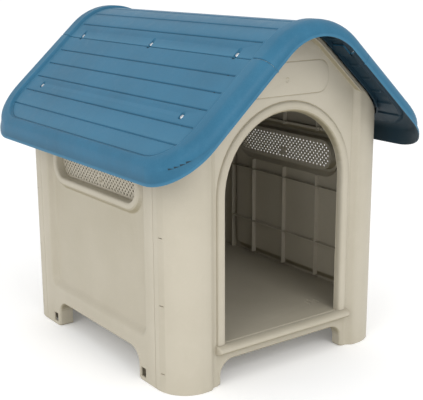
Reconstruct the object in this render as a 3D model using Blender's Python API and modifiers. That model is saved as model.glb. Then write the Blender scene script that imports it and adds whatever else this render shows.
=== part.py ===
"""Plastic dog kennel: a floor tray, four snap-together wall panels and a three-piece screwed roof.

Metres, +Z up. The origin is on the ground in the middle of the kennel. The doorway faces -Y.
"""
import bpy
import bmesh
from math import copysign, cos, pi, radians, sin, sqrt, tan
from mathutils import Matrix, Vector

# Body
BODY_WIDTH = 0.505          # over the side panels, along X
BODY_LENGTH = 0.572         # over the end panels, along Y
CORNER_RADIUS = 0.062       # where an end panel turns round to meet a side panel
CORNER_RETURN = 0.069       # how far an end panel reaches back along the side
WALL = 0.003                # wall of every beige moulding
FLOOR_TOP = 0.080
GAP = 0.0003                # left between pieces that touch

# Roof
EAVE_OVERHANG = 0.0505      # past the side panels
GABLE_OVERHANG = 0.084      # past the end panels
RIDGE_HEIGHT = 0.655        # top of the boarded skin at the ridge
ROOF_PITCH = radians(41.9)
RIDGE_RADIUS = 0.1312       # of the boarded skin over the ridge
ROOF_WALL = 0.003
BORDER_RISE = 0.005         # the border stands above the boarded skin
BORDER_WIDTH = 0.048        # from a gable edge of the roof to the boards
LIP_DEPTH = 0.028           # from the border's top to the lip's lower edge
GABLE_ROLL = 0.020          # radius of the rolled gable edge
EAVE_ROLL = 0.025           # radius of the rolled eave edge
EAVE_CORNER = 0.100         # corner radius of the roof in its slope
BOARD_PITCH = 0.039         # from groove to groove
RIDGE_BOARD = 0.0328        # width of the board on the ridge
BOARDS_ON_CAP = 3           # from the ridge board down to the seam
GROOVE_WIDTH = 0.0025
GROOVE_DEPTH = 0.0012
GROOVE_END = 0.009          # from the border to the end of a groove
LAP = 0.022                 # the eave panel reaches this far under the ridge cap
LAP_ROOT = 0.008            # and this far back under its own edge
BORDER_SLOPE = 0.003        # width of the step from the boards up to the border
ROLL_STEPS = 5              # facets in a rolled edge

# Fixings
SCREW_RADIUS = 0.0020
SCREW_LENGTH = 0.022
HEAD_RADIUS = 0.0045
HEAD_HEIGHT = 0.0022
HEAD_EDGE = 0.0008          # height of the head's straight edge
CROWN_RADIUS = 0.0027       # flat middle of the domed head
CROWN_DROP = 0.0002
SCREW_STEPS = 12
BOSS_WALL = 0.004
BOSS_DEPTH = 0.022
SEAM_SCREW_SETBACK = 0.0075 # from the seam up the cap
SEAM_BOSS_DEPTH = 0.012     # boss under the lap flange for the middle seam screw
SCREW_TO_GABLE = 0.0145     # from an end panel's face to its seam screws
SCREW_TO_SIDE = 0.034       # from a side panel's face to the eave screws
EAVE_SCREW_TO_GABLE = 0.026 # and from an end panel's face

# End panels
POST_WIDTH = 0.0805         # corner post seen from the end
FIELD_DEPTH = 0.008         # the field between the posts lies this far back
SEAT = 0.0007               # between the roof's lap flange and the wall's top edge
GABLE_BAND = 0.013          # raised band along the top edge
DOOR_MARGIN = 0.033         # from the doorway to the field's edge
DOOR_DROP = 0.164           # from the ridge down to the top of the doorway
RIM_WIDTH = 0.021
RIM_RISE = 0.004
JAMB_DEPTH = 0.010
SILL_MARGIN = 0.010         # from the sill bar's end to the field's edge
SILL_BOTTOM = 0.064
SILL_REACH = 0.016          # in front of the field
LABEL_HALF = 0.100
LABEL_HEIGHT = 0.060
LABEL_RISE = 0.030          # above the doorway
END_FOOT_INSET = 0.023      # a front foot reaches this far into the field
END_ARCH_TOP = 0.046

# Side panels
SIDE_POST = 0.031           # flat edge beside the field
SIDE_FIELD_DEPTH = 0.011
SIDE_BAND_TOP = 0.089       # the lower band stands proud up to here
SIDE_FOOT = 0.059           # a side foot's width, from the corner seam
SIDE_ARCH_TOP = 0.055
TOP_FLANGE = 0.025
FOOT_RETURN = 0.030         # flange that stiffens the edge of each arch
ARCH_FILLET = 0.028
FILLET_STEPS = 5
VENT_MARGIN = 0.016         # from the vent's frame to the field's edge
VENT_HEIGHT = 0.058
VENT_DROP = 0.1083          # from the panel's top edge to the middle of the vent
VENT_FRAME = 0.020          # width of the raised frame
VENT_FRAME_RISE = 0.0085
VENT_DEPTH = 0.0205         # from the panel's outer plane to the grille
GRILLE = 0.0025
RIB = 0.0025
RIB_DEPTH = 0.0095
RIB_PITCH = 0.107
RIB_HEIGHTS = (0.164, 0.288)
RIB_OVER_VENT = 0.055       # from the middle of the vent up to the top cross rib

# Snaps
SLOT_HALF = 0.008
SLOT_CENTRE = 0.0413        # from the seam, along Y
SLOT_BOTTOM = 0.0074
SLOT_TOP = 0.0257
HOOK_HEIGHTS = (0.035, 0.165, 0.290)
HOOK_HALF = 0.006
HOOK_REACH = 0.022
SLIT_FROM_SEAM = 0.0205
SLIT_LENGTH = 0.010
SLIT_HEIGHT = 0.0015
TONGUE_BOTTOM = 0.004       # the snap tongue's lower edge, off the ground
TONGUE_ROOT = 0.012         # length fixed to its own panel
LUG_PLAY = 0.0010           # round the lug in its slot
LUG_SETBACK = 0.0012        # the lug stops short of the outer face

# Floor
FLOOR_RIB_PITCH = 0.100

PAST = 0.01                 # a cutter runs this far past what it cuts
FAR = 0.5                   # further out than any part of the kennel

ARC_STEPS = 6               # facets in half the ridge
CORNER_STEPS = 8            # facets in a rounded corner
ARCH_STEPS = 20             # facets in the doorway arch

HALF_WIDTH = BODY_WIDTH / 2
HALF_LENGTH = BODY_LENGTH / 2
SEAM_Y = HALF_LENGTH - CORNER_RETURN
FIELD_Y = HALF_LENGTH - FIELD_DEPTH
FIELD_HALF = HALF_WIDTH - POST_WIDTH
DOOR_HALF = FIELD_HALF - DOOR_MARGIN
DOOR_TOP = RIDGE_HEIGHT - DOOR_DROP
DOOR_SPRING = DOOR_TOP - DOOR_HALF
LABEL_BOTTOM = DOOR_TOP + LABEL_RISE
SILL_HALF = FIELD_HALF - SILL_MARGIN
END_ARCH_HALF = FIELD_HALF - END_FOOT_INSET
SIDE_FIELD_X = HALF_WIDTH - SIDE_FIELD_DEPTH
SIDE_FIELD_HALF = SEAM_Y - SIDE_POST
SIDE_ARCH_HALF = SEAM_Y - SIDE_FOOT
VENT_HALF = SIDE_FIELD_HALF - VENT_MARGIN - VENT_FRAME
SLOT_Y = SEAM_Y - SLOT_CENTRE
ROOF_LENGTH = BODY_LENGTH + 2 * GABLE_OVERHANG
ROOF_WIDTH = BODY_WIDTH + 2 * EAVE_OVERHANG
ROOF_SPACE = 2 * ROOF_WALL + GAP + SEAT
BOSS_RADIUS = SCREW_RADIUS + BOSS_WALL
SKY = RIDGE_HEIGHT + 0.1
BELOW = -PAST
HOLE_RADIUS = SCREW_RADIUS + GAP

RIDGE_RUN = RIDGE_RADIUS * ROOF_PITCH
RIDGE_CENTRE = RIDGE_HEIGHT - RIDGE_RADIUS
SEAM_RUN = RIDGE_BOARD / 2 + BOARDS_ON_CAP * BOARD_PITCH
SEAM_SCREW_RUN = SEAM_RUN - SEAM_SCREW_SETBACK
SEAM_SCREW_Y = HALF_LENGTH - SCREW_TO_GABLE
EAVE_SCREW_Y = HALF_LENGTH - EAVE_SCREW_TO_GABLE

BEIGE = (0.540, 0.485, 0.391, 1)
BLUE = (0.080, 0.212, 0.342, 1)
ZINC = (0.620, 0.640, 0.660, 1)
PLASTIC_ROUGHNESS = 0.45
ZINC_ROUGHNESS = 0.3

for old in list(bpy.data.objects):
    bpy.data.objects.remove(old, do_unlink=True)
kennel = bpy.data.collections.new("dog_kennel")
cutters = bpy.data.collections.new("cutters")
for group in (kennel, cutters):
    bpy.context.scene.collection.children.link(group)


# ---- outlines -------------------------------------------------------------------------------

def arc(centre, radius, start, end, steps):
    """Points on an arc in a plane, from one angle to another."""
    turns = [start + (end - start) * i / steps for i in range(steps + 1)]
    return [(centre[0] + radius * cos(a), centre[1] + radius * sin(a)) for a in turns]


def rounded(low, high, radius, steps=CORNER_STEPS):
    """A rectangle with round corners, counter-clockwise."""
    corners = ((high[0] - radius, low[1] + radius, -pi / 2), (high[0] - radius, high[1] - radius, 0),
               (low[0] + radius, high[1] - radius, pi / 2), (low[0] + radius, low[1] + radius, pi))
    return [p for x, y, a in corners for p in arc((x, y), radius, a, a + pi / 2, steps)]


def box_outline(low, high):
    """A plain rectangle, counter-clockwise."""
    return [(low[0], low[1]), (high[0], low[1]), (high[0], high[1]), (low[0], high[1])]


def door_outline(grow):
    """The doorway, from below the floor up and over the arch, grown outwards by a margin."""
    half = DOOR_HALF + grow
    return [(half, BELOW)] + arc((0, DOOR_SPRING), half, 0, pi, ARCH_STEPS) + [(-half, BELOW)]


def arch_outline(half, top, grow, bottom=BELOW):
    """The cut between two feet, grown outwards by a margin."""
    half, top = half + grow, top + grow
    radius = ARCH_FILLET + grow
    return ([(-half, bottom), (half, bottom)]
            + arc((half - radius, top - radius), radius, 0, pi / 2, FILLET_STEPS)
            + arc((radius - half, top - radius), radius, pi / 2, pi, FILLET_STEPS))


def on_roof(run, rise):
    """Point (x, z) at a distance along the boarded skin from the ridge, and above the skin."""
    turn = min(abs(run) / RIDGE_RADIUS, ROOF_PITCH)
    slope = max(abs(run) - RIDGE_RUN, 0)
    x = (RIDGE_RADIUS + rise) * sin(turn) + slope * cos(turn)
    z = RIDGE_CENTRE + (RIDGE_RADIUS + rise) * cos(turn) - slope * sin(turn)
    return copysign(x, run), z


def run_at(x):
    """Distance from the ridge along the skin to a place on the straight slope."""
    return RIDGE_RUN + (x - RIDGE_RADIUS * sin(ROOF_PITCH)) / cos(ROOF_PITCH)


def under_roof(rise, half=FAR):
    """Everything below a line parallel to the skin, as an outline in X and Z."""
    runs = [RIDGE_RUN * i / ARC_STEPS for i in range(-ARC_STEPS, ARC_STEPS + 1)]
    edge = run_at(half)
    top = [on_roof(run, rise) for run in [edge] + runs[::-1] + [-edge]]
    return [(top[-1][0], BELOW), (top[0][0], BELOW)] + top


def over_roof(rise):
    """Everything above that line."""
    line = under_roof(rise)[2:]
    return line + [(line[-1][0], SKY), (line[0][0], SKY)]


VENT_CENTRE = on_roof(run_at(HALF_WIDTH), -ROOF_SPACE)[1] - VENT_DROP
EAVE_SCREW_RUN = run_at(HALF_WIDTH - SCREW_TO_SIDE)


def span(side, near, far):
    """Two distances from the middle plane as low and high places on the given side."""
    return sorted((side * near, side * far))


# ---- solids ---------------------------------------------------------------------------------

TURN = {"Z": Matrix.Identity(4),
        "Y": Matrix(((1, 0, 0, 0), (0, 0, -1, 0), (0, 1, 0, 0), (0, 0, 0, 1))),
        "X": Matrix(((0, 0, 1, 0), (1, 0, 0, 0), (0, 1, 0, 0), (0, 0, 0, 1)))}


def add(name, mesh, group):
    """Put a mesh in the scene. Cutters are only drawn as wires."""
    piece = bpy.data.objects.new(name, mesh)
    group.objects.link(piece)
    if group is cutters:
        piece.hide_render = True
        piece.display_type = 'WIRE'
    return piece


def prism(name, loops, axis, low, high, group=cutters):
    """A flat outline, with any holes as further loops, given a depth along one axis."""
    outline = bpy.data.curves.new(name, 'CURVE')
    outline.dimensions = '2D'
    outline.fill_mode = 'BOTH'
    outline.extrude = (high - low) / 2
    for loop in loops:
        spline = outline.splines.new('POLY')
        spline.points.add(len(loop) - 1)
        for point, (u, v) in zip(spline.points, loop):
            point.co = (u, v, 0, 1)
        spline.use_cyclic_u = True
    drawn = add(name, outline, group)
    bpy.context.view_layer.update()
    depsgraph = bpy.context.evaluated_depsgraph_get()
    mesh = bpy.data.meshes.new_from_object(drawn.evaluated_get(depsgraph))
    bpy.data.objects.remove(drawn)
    middle = (low + high) / 2
    across = -middle if axis == "Y" else middle
    mesh.transform(TURN[axis] @ Matrix.Translation((0, 0, across)))
    weld(mesh)
    return add(name, mesh, group)


def weld(mesh):
    """Join doubled points, merge flat faces and turn the normals outward."""
    bm = bmesh.new()
    bm.from_mesh(mesh)
    bmesh.ops.remove_doubles(bm, verts=bm.verts, dist=0.000002)
    bmesh.ops.dissolve_limit(bm, angle_limit=0.001, verts=bm.verts, edges=bm.edges)
    bmesh.ops.recalc_face_normals(bm, faces=bm.faces)
    bm.to_mesh(mesh)
    bm.free()


def block(name, low, high):
    """A plain box between two corners."""
    size = Vector(high) - Vector(low)
    bm = bmesh.new()
    bmesh.ops.create_cube(bm, size=1)
    bmesh.ops.scale(bm, vec=size, verts=bm.verts)
    bmesh.ops.translate(bm, vec=(Vector(high) + Vector(low)) / 2, verts=bm.verts)
    mesh = bpy.data.meshes.new(name)
    bm.to_mesh(mesh)
    bm.free()
    return add(name, mesh, cutters)


def roof_frame(run, y):
    """Axes at a place on the skin: down the slope, along the ridge, out of the skin."""
    x, z = on_roof(run, 0)
    tilt = copysign(min(abs(run) / RIDGE_RADIUS, ROOF_PITCH), run)
    return Matrix.Translation((x, y, z)) @ Matrix.Rotation(tilt, 4, 'Y')


def post(name, run, y, low, high, radius, segments=16):
    """A round post or hole square to the roof, between two distances from the skin."""
    bm = bmesh.new()
    bmesh.ops.create_cone(bm, cap_ends=True, segments=segments, radius1=radius, radius2=radius,
                          depth=high - low, matrix=Matrix.Translation((0, 0, (low + high) / 2)))
    bm.transform(roof_frame(run, y))
    mesh = bpy.data.meshes.new(name)
    bm.to_mesh(mesh)
    bm.free()
    return add(name, mesh, cutters)


def roof_bar(name, profile, low, high):
    """A bar along the ridge whose section is given as distances down and above the skin."""
    return prism(name, [[on_roof(run, rise) for run, rise in profile]], "Y", low, high)


def carve(part, operation, tools):
    """Join tools to a part, or cut with them, and keep the result as its mesh."""
    for tool in tools:
        step = part.modifiers.new(tool.name, 'BOOLEAN')
        step.operation = operation
        step.object = tool
    bpy.context.view_layer.update()
    depsgraph = bpy.context.evaluated_depsgraph_get()
    mesh = bpy.data.meshes.new_from_object(part.evaluated_get(depsgraph))
    part.modifiers.clear()
    part.data = mesh
    weld(mesh)


def paint(part, colour, roughness, metallic=0.0):
    """Give a piece a material of its own."""
    material = bpy.data.materials.new(part.name)
    material.use_nodes = True
    shader = material.node_tree.nodes["Principled BSDF"]
    shader.inputs["Base Color"].default_value = colour
    shader.inputs["Roughness"].default_value = roughness
    shader.inputs["Metallic"].default_value = metallic
    part.data.materials.clear()
    part.data.materials.append(material)


def turned_copy(part, name):
    """The same moulding at the opposite side, turned half way round."""
    copy = add(name, part.data.copy(), kennel)
    copy.rotation_euler.z = pi
    return copy


def smooth(part):
    """Shade round faces as one surface and keep the real edges sharp."""
    part.data.shade_smooth()
    part.data.set_sharp_from_angle(angle=radians(30))


# ---- end panels -----------------------------------------------------------------------------

def end_plan(inset, reach):
    """Plan of an end panel's space: the face, two round corners and their returns."""
    half = HALF_WIDTH - inset
    face = inset - HALF_LENGTH
    radius = CORNER_RADIUS - inset
    return ([(half, reach), (-half, reach)]
            + arc((radius - half, face + radius), radius, pi, 1.5 * pi, CORNER_STEPS)
            + arc((half - radius, face + radius), radius, 1.5 * pi, 2 * pi, CORNER_STEPS))


def end_field(grow):
    """The recessed field between the corner posts and the band under the roof."""
    return under_roof(grow - ROOF_SPACE - GABLE_BAND, FIELD_HALF + grow)


def end_shell(name):
    """The bare moulding: face, corners, a flange under the roof, and the recessed field."""
    face, back = -HALF_LENGTH, -SEAM_Y - GAP / 2
    shell = prism(name, [end_plan(0, back)], "Z", 0, SKY, kennel)
    space = prism(name + "_space", [end_plan(WALL, back + WALL)], "Z", BELOW, SKY)
    carve(shell, 'DIFFERENCE', [
        prism(name + "_sky", [over_roof(-ROOF_SPACE)], "Y", face - PAST, back + PAST),
        prism(name + "_field", [end_field(0)], "Y", face - PAST, -FIELD_Y)])
    carve(space, 'DIFFERENCE', [
        prism(name + "_top_wall", [over_roof(-ROOF_SPACE - WALL)], "Y", face - PAST, back + PAST),
        prism(name + "_field_wall", [end_field(WALL)], "Y", face - PAST, WALL - FIELD_Y)])
    carve(shell, 'DIFFERENCE', [space])
    return shell


def doorway_pieces(name):
    """The rim round the doorway, its jamb and the round-nosed sill bar."""
    embed = WALL / 2 - FIELD_Y
    rim = prism(name + "_rim", [door_outline(RIM_WIDTH)], "Y", -FIELD_Y - RIM_RISE, embed)
    jamb = prism(name + "_jamb", [door_outline(WALL)], "Y", embed, JAMB_DEPTH - FIELD_Y)
    for piece, bottom in ((rim, SILL_BOTTOM), (jamb, FLOOR_TOP + GAP)):
        carve(piece, 'DIFFERENCE', [block(name + "_below", (-FAR, -FAR, 2 * BELOW), (FAR, 0, bottom))])
    nose = (FLOOR_TOP - GAP - SILL_BOTTOM) / 2
    centre = (nose - FIELD_Y - SILL_REACH, SILL_BOTTOM + nose)
    section = arc(centre, nose, pi / 2, 1.5 * pi, CORNER_STEPS)
    section += [(embed, SILL_BOTTOM), (embed, FLOOR_TOP - GAP)]
    sill = prism(name + "_sill", [section], "X", -SILL_HALF, SILL_HALF)
    return [rim, jamb, sill]


def doorway_cuts(name):
    """The doorway itself and the outline of the label pad above it."""
    opening = prism(name + "_door", [door_outline(0)],
                    "Y", -HALF_LENGTH - PAST, JAMB_DEPTH + PAST - FIELD_Y)
    carve(opening, 'DIFFERENCE', [block(name + "_threshold", (-FAR, -FAR, 2 * BELOW),
                                        (FAR, 0, FLOOR_TOP - GAP))])

    def label(inset):
        low = (inset - LABEL_HALF, LABEL_BOTTOM + inset)
        high = (LABEL_HALF - inset, LABEL_BOTTOM + LABEL_HEIGHT - inset)
        return rounded(low, high, LABEL_HEIGHT / 2 - GAP - inset)

    groove = prism(name + "_label", [label(0), label(GROOVE_DEPTH)],
                   "Y", -FIELD_Y - GROOVE_DEPTH, GROOVE_DEPTH / 2 - FIELD_Y)
    return [opening, groove]


def screw_places(side):
    """Where screws enter an end panel on one side, and how high their bosses stand."""
    return ((side * SEAM_SCREW_RUN, SEAM_SCREW_Y, -ROOF_SPACE - WALL / 2),
            (side * EAVE_SCREW_RUN, EAVE_SCREW_Y, -ROOF_WALL - GAP))


def snap_tongues(name, side):
    """The tongue behind a side panel's foot, with the lug that fills its slot."""
    near, far = HALF_WIDTH - WALL - GAP, HALF_WIDTH - 2 * WALL - GAP
    top = SLOT_TOP + LUG_PLAY
    tongue = span(side, near, far)
    root = span(side, far, near + 2 * GAP)
    lug = span(side, near - GAP, HALF_WIDTH - LUG_SETBACK)
    return [block(name + "_tongue", (tongue[0], -SEAM_Y - TONGUE_ROOT, TONGUE_BOTTOM),
                  (tongue[1], SLOT_HALF + WALL - SLOT_Y, top)),
            block(name + "_tongue_root", (root[0], -SEAM_Y - TONGUE_ROOT, TONGUE_BOTTOM),
                  (root[1], -SEAM_Y - GAP, top)),
            block(name + "_lug", (lug[0], LUG_PLAY - SLOT_Y - SLOT_HALF, SLOT_BOTTOM + LUG_PLAY),
                  (lug[1], SLOT_HALF - LUG_PLAY - SLOT_Y, SLOT_TOP - LUG_PLAY))]


def hook_slit(name, side, height):
    """The short slit in a corner return, where a side panel's hook seats."""
    across = span(side, HALF_WIDTH - 2 * WALL, HALF_WIDTH + PAST)
    middle = -SEAM_Y - SLIT_FROM_SEAM
    return block(name + "_slit", (across[0], middle - SLIT_LENGTH / 2, height - SLIT_HEIGHT / 2),
                 (across[1], middle + SLIT_LENGTH / 2, height + SLIT_HEIGHT / 2))


def end_panel(name, doorway):
    """One end wall, made at the front, where it faces -Y."""
    panel = end_shell(name)
    joined = [prism(name + "_arch_flange", [arch_outline(END_ARCH_HALF, END_ARCH_TOP, WALL, 0)],
                    "Y", WALL / 2 - FIELD_Y, FOOT_RETURN - FIELD_Y)]
    cuts = [prism(name + "_arch", [arch_outline(END_ARCH_HALF, END_ARCH_TOP, 0)],
                  "Y", -HALF_LENGTH - PAST, -SEAM_Y)]
    if doorway:
        joined += doorway_pieces(name)
        cuts += doorway_cuts(name)
    tongues = []
    for side in (-1, 1):
        for run, y, top in screw_places(side):
            foot = -ROOF_SPACE - BOSS_DEPTH
            joined.append(post(name + "_boss", run, -y, foot, top, BOSS_RADIUS))
            cuts.append(post(name + "_pilot", run, -y, foot + WALL, 0, HOLE_RADIUS, 12))
        cuts += [hook_slit(name, side, height) for height in HOOK_HEIGHTS]
        tongues += snap_tongues(name, side)
    carve(panel, 'UNION', joined)
    carve(panel, 'DIFFERENCE', cuts)
    carve(panel, 'UNION', tongues)
    smooth(panel)
    return panel


# ---- side panels ----------------------------------------------------------------------------

def side_shell(name):
    """The bare moulding: outer skin, a flange under the roof, and the recessed field."""
    face, seam = -HALF_WIDTH, SEAM_Y - GAP / 2
    shell = prism(name, [box_outline((face, -seam), (face + TOP_FLANGE, seam))], "Z", 0, SKY, kennel)
    space = prism(name + "_space", [box_outline((face + WALL, -SEAM_Y - PAST), (0, SEAM_Y + PAST))],
                  "Z", BELOW, SKY)
    field = box_outline((-SIDE_FIELD_HALF, SIDE_BAND_TOP), (SIDE_FIELD_HALF, SKY))
    half = SIDE_FIELD_HALF + WALL
    field_wall = box_outline((-half, SIDE_BAND_TOP - WALL), (half, SKY))
    carve(shell, 'DIFFERENCE', [
        prism(name + "_sky", [over_roof(-ROOF_SPACE)], "Y", -FAR, FAR),
        prism(name + "_field", [field], "X", face - PAST, -SIDE_FIELD_X)])
    carve(space, 'DIFFERENCE', [
        prism(name + "_top_wall", [over_roof(-ROOF_SPACE - WALL)], "Y", -FAR, FAR),
        prism(name + "_field_wall", [field_wall], "X", face - PAST, WALL - SIDE_FIELD_X)])
    carve(shell, 'DIFFERENCE', [space])
    return shell


def vent_outline(grow):
    """The vent's round-ended recess, in Y and Z, grown outwards by a margin."""
    middle = VENT_CENTRE
    half, rise = VENT_HALF + grow, VENT_HEIGHT / 2 + grow
    return rounded((-half, middle - rise), (half, middle + rise), rise - GAP)


def rib_lattice(name):
    """Upright and level ribs on the inside of the field, kept clear of the vent."""
    inner = WALL - SIDE_FIELD_X
    low, high = inner - WALL / 2, inner + RIB_DEPTH
    ribs = [block(name + "_rib", (low, y - RIB / 2, SIDE_BAND_TOP - WALL / 2), (high, y + RIB / 2, SKY))
            for y in (-RIB_PITCH, 0, RIB_PITCH)]
    ribs += [block(name + "_cross_rib", (low, -SIDE_FIELD_HALF, z - RIB / 2),
                   (high, SIDE_FIELD_HALF, z + RIB / 2))
             for z in RIB_HEIGHTS + (VENT_CENTRE + RIB_OVER_VENT,)]
    lattice = ribs[0]
    carve(lattice, 'UNION', ribs[1:])
    carve(lattice, 'DIFFERENCE', [
        prism(name + "_rib_vent", [vent_outline(VENT_FRAME + RIB)], "X", -HALF_WIDTH, 0),
        prism(name + "_rib_top", [over_roof(-ROOF_SPACE - WALL / 2)], "Y", -FAR, FAR)])
    return lattice


def side_hooks(name, side):
    """Three hooks that reach behind an end panel's corner, clear of its round inner face."""
    corner = CORNER_RADIUS - WALL
    past = max(HOOK_REACH - CORNER_RETURN + CORNER_RADIUS, 0)
    inner = WALL - HALF_WIDTH
    hook_x = inner + 2 * GAP + corner - sqrt(corner ** 2 - past ** 2)
    reach = span(side, SEAM_Y - TONGUE_ROOT, SEAM_Y + HOOK_REACH)
    root = span(side, SEAM_Y - TONGUE_ROOT, SEAM_Y - 2 * GAP)
    hooks = []
    for height in HOOK_HEIGHTS:
        low, high = height - HOOK_HALF, height + HOOK_HALF
        tip = hook_x + WALL
        hooks.append(block(name + "_hook", (hook_x, reach[0], low), (tip, reach[1], high)))
        hooks.append(block(name + "_hook_root", (inner - GAP, root[0], low), (tip, root[1], high)))
    return hooks


def side_panel(name):
    """One side wall, made at the left, where it faces -X."""
    panel = side_shell(name)
    face, inner = -HALF_WIDTH, WALL - SIDE_FIELD_X
    grille = face + VENT_DEPTH
    frame_top = -SIDE_FIELD_X - VENT_FRAME_RISE
    carve(panel, 'UNION', [
        rib_lattice(name),
        prism(name + "_vent_frame", [vent_outline(VENT_FRAME)], "X", frame_top, inner - WALL / 2),
        prism(name + "_vent_wall", [vent_outline(WALL)], "X", frame_top, grille + GRILLE),
        prism(name + "_arch_flange", [arch_outline(SIDE_ARCH_HALF, SIDE_ARCH_TOP, WALL, 0)],
              "X", face + WALL / 2, face + FOOT_RETURN)])
    slots = [block(name + "_slot", (face - PAST, side * SLOT_Y - SLOT_HALF, SLOT_BOTTOM),
                   (face + WALL + PAST, side * SLOT_Y + SLOT_HALF, SLOT_TOP)) for side in (-1, 1)]
    carve(panel, 'DIFFERENCE', slots + [
        prism(name + "_vent_back", [vent_outline(VENT_FRAME - WALL), vent_outline(WALL)],
              "X", frame_top + WALL, inner + PAST),
        prism(name + "_vent_recess", [vent_outline(0)], "X", face - PAST, grille),
        prism(name + "_arch", [arch_outline(SIDE_ARCH_HALF, SIDE_ARCH_TOP, 0)], "X", face - PAST, 0)])
    carve(panel, 'UNION', side_hooks(name, -1) + side_hooks(name, 1))
    smooth(panel)
    return panel


# ---- floor ----------------------------------------------------------------------------------

def reach(at, across, along, radius):
    """How far a floor rib runs before it meets the skirt, round corners included."""
    past = max(abs(at) - (across - radius), 0)
    return along - radius + sqrt(radius ** 2 - past ** 2) + WALL / 2


def floor_tray(name):
    """A flat floor with a skirt and a grid of ribs below, standing on the side panels' flanges."""
    x, y = HALF_WIDTH - WALL - 2 * GAP, FIELD_Y - WALL - 2 * GAP
    radius = CORNER_RADIUS
    foot = SIDE_ARCH_TOP + WALL + GAP
    tray = prism(name, [rounded((-x, -y), (x, y), radius)], "Z", foot, FLOOR_TOP, kennel)
    x, y = x - WALL, y - WALL
    inside = rounded((-x, -y), (x, y), radius - WALL)
    carve(tray, 'DIFFERENCE', [prism(name + "_hollow", [inside], "Z", BELOW, FLOOR_TOP - WALL)])
    top, low = FLOOR_TOP - WALL / 2, foot + WALL
    ribs = []
    corner = radius - WALL
    for i in range(-int(y / FLOOR_RIB_PITCH), int(y / FLOOR_RIB_PITCH) + 1):
        at = i * FLOOR_RIB_PITCH
        half = reach(at, y, x, corner)
        ribs.append(block(name + "_rib", (-half, at - RIB / 2, low), (half, at + RIB / 2, top)))
    for i in range(-int(x / FLOOR_RIB_PITCH), int(x / FLOOR_RIB_PITCH) + 1):
        at = i * FLOOR_RIB_PITCH
        half = reach(at, x, y, corner)
        ribs.append(block(name + "_cross_rib", (at - RIB / 2, -half, low), (at + RIB / 2, half, top)))
    carve(tray, 'UNION', ribs)
    return tray


# ---- roof -----------------------------------------------------------------------------------

def roof_rings():
    """Sections of the roof's edge from the lip's lower edge in to the boards.

    Each is (distance in from the gable edge, rise there, run of the eave edge, rise there).
    """
    turn = pi / 2 - ROOF_PITCH
    edge = (ROOF_WIDTH / 2 - (RIDGE_RADIUS + BORDER_RISE) * sin(ROOF_PITCH)) / cos(ROOF_PITCH)
    tangent = RIDGE_RUN + edge - EAVE_ROLL * tan(turn / 2)
    low = BORDER_RISE - LIP_DEPTH
    roll_end = (tangent + EAVE_ROLL * sin(turn), BORDER_RISE - EAVE_ROLL * (1 - cos(turn)))
    drop = (roll_end[1] - low) * tan(ROOF_PITCH)
    rings = [(0, low, roll_end[0] + drop, low)]
    for i in range(ROLL_STEPS + 1):
        gable, eave = pi / 2 * i / ROLL_STEPS, turn * (1 - i / ROLL_STEPS)
        rings.append((GABLE_ROLL * (1 - cos(gable)), BORDER_RISE - GABLE_ROLL * (1 - sin(gable)),
                      tangent + EAVE_ROLL * sin(eave), BORDER_RISE - EAVE_ROLL * (1 - cos(eave))))
    rings.append((BORDER_WIDTH - BORDER_SLOPE, BORDER_RISE, tangent - BORDER_SLOPE / 2, BORDER_RISE))
    rings.append((BORDER_WIDTH, 0, tangent - BORDER_SLOPE, 0))
    return rings


def roof_sheet():
    """The whole roof's outer skin laid out flat: X is the run from the ridge, Z the rise."""
    bm = bmesh.new()
    loops = []
    for inset, gable_rise, run, eave_rise in roof_rings():
        half = ROOF_LENGTH / 2 - inset
        radius = EAVE_CORNER - inset / 2
        loop = []
        for quarter, (u, v) in enumerate(((1, 1), (-1, 1), (-1, -1), (1, -1))):
            for i in range(CORNER_STEPS + 1):
                share = i / CORNER_STEPS if quarter % 2 == 0 else 1 - i / CORNER_STEPS
                angle = share * pi / 2
                loop.append(bm.verts.new((u * (run - radius + radius * cos(angle)),
                                          v * (half - radius + radius * sin(angle)),
                                          eave_rise + (gable_rise - eave_rise) * share)))
        loops.append(loop)
    for outer, inner in zip(loops, loops[1:]):
        for i in range(len(outer)):
            j = (i + 1) % len(outer)
            bm.faces.new((outer[i], outer[j], inner[j], inner[i]))
    bm.faces.new(loops[-1])
    return bm


def roof_piece(name, low, high):
    """The stretch of the roof between two runs: bent over the ridge and given its wall."""
    bm = roof_sheet()
    for run, direction in ((low, -1), (high, 1)):
        everything = bm.verts[:] + bm.edges[:] + bm.faces[:]
        bmesh.ops.bisect_plane(bm, geom=everything, plane_co=(run, 0, 0), plane_no=(direction, 0, 0),
                               clear_outer=True)
    for i in range(-ARC_STEPS, ARC_STEPS + 1):
        everything = bm.verts[:] + bm.edges[:] + bm.faces[:]
        bmesh.ops.bisect_plane(bm, geom=everything, plane_co=(RIDGE_RUN * i / ARC_STEPS, 0, 0),
                               plane_no=(1, 0, 0))
    for vert in bm.verts:
        x, z = on_roof(vert.co.x, vert.co.z)
        vert.co = (x, vert.co.y, z)
    bmesh.ops.recalc_face_normals(bm, faces=bm.faces)
    if sum(face.normal.z * face.calc_area() for face in bm.faces) < 0:
        bmesh.ops.reverse_faces(bm, faces=bm.faces)
    mesh = bpy.data.meshes.new(name)
    bm.to_mesh(mesh)
    bm.free()
    piece = add(name, mesh, kennel)
    wall = piece.modifiers.new("wall", 'SOLIDIFY')
    wall.thickness = ROOF_WALL
    wall.offset = -1
    wall.use_even_offset = True
    return piece


def grooves(name, start, end):
    """The shallow lines between two runs that make the skin look boarded."""
    along, half = ROOF_LENGTH / 2 - BORDER_WIDTH - GROOVE_END, GROOVE_WIDTH / 2
    bars = []
    for i in range(int((end - RIDGE_BOARD / 2) / BOARD_PITCH) + 1):
        run = RIDGE_BOARD / 2 + i * BOARD_PITCH
        if start < run < end:
            section = [(run - half, GROOVE_DEPTH), (run + half, GROOVE_DEPTH), (run, -GROOVE_DEPTH)]
            bars.append(roof_bar(name + "_groove", section, -along, along))
    return bars


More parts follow.
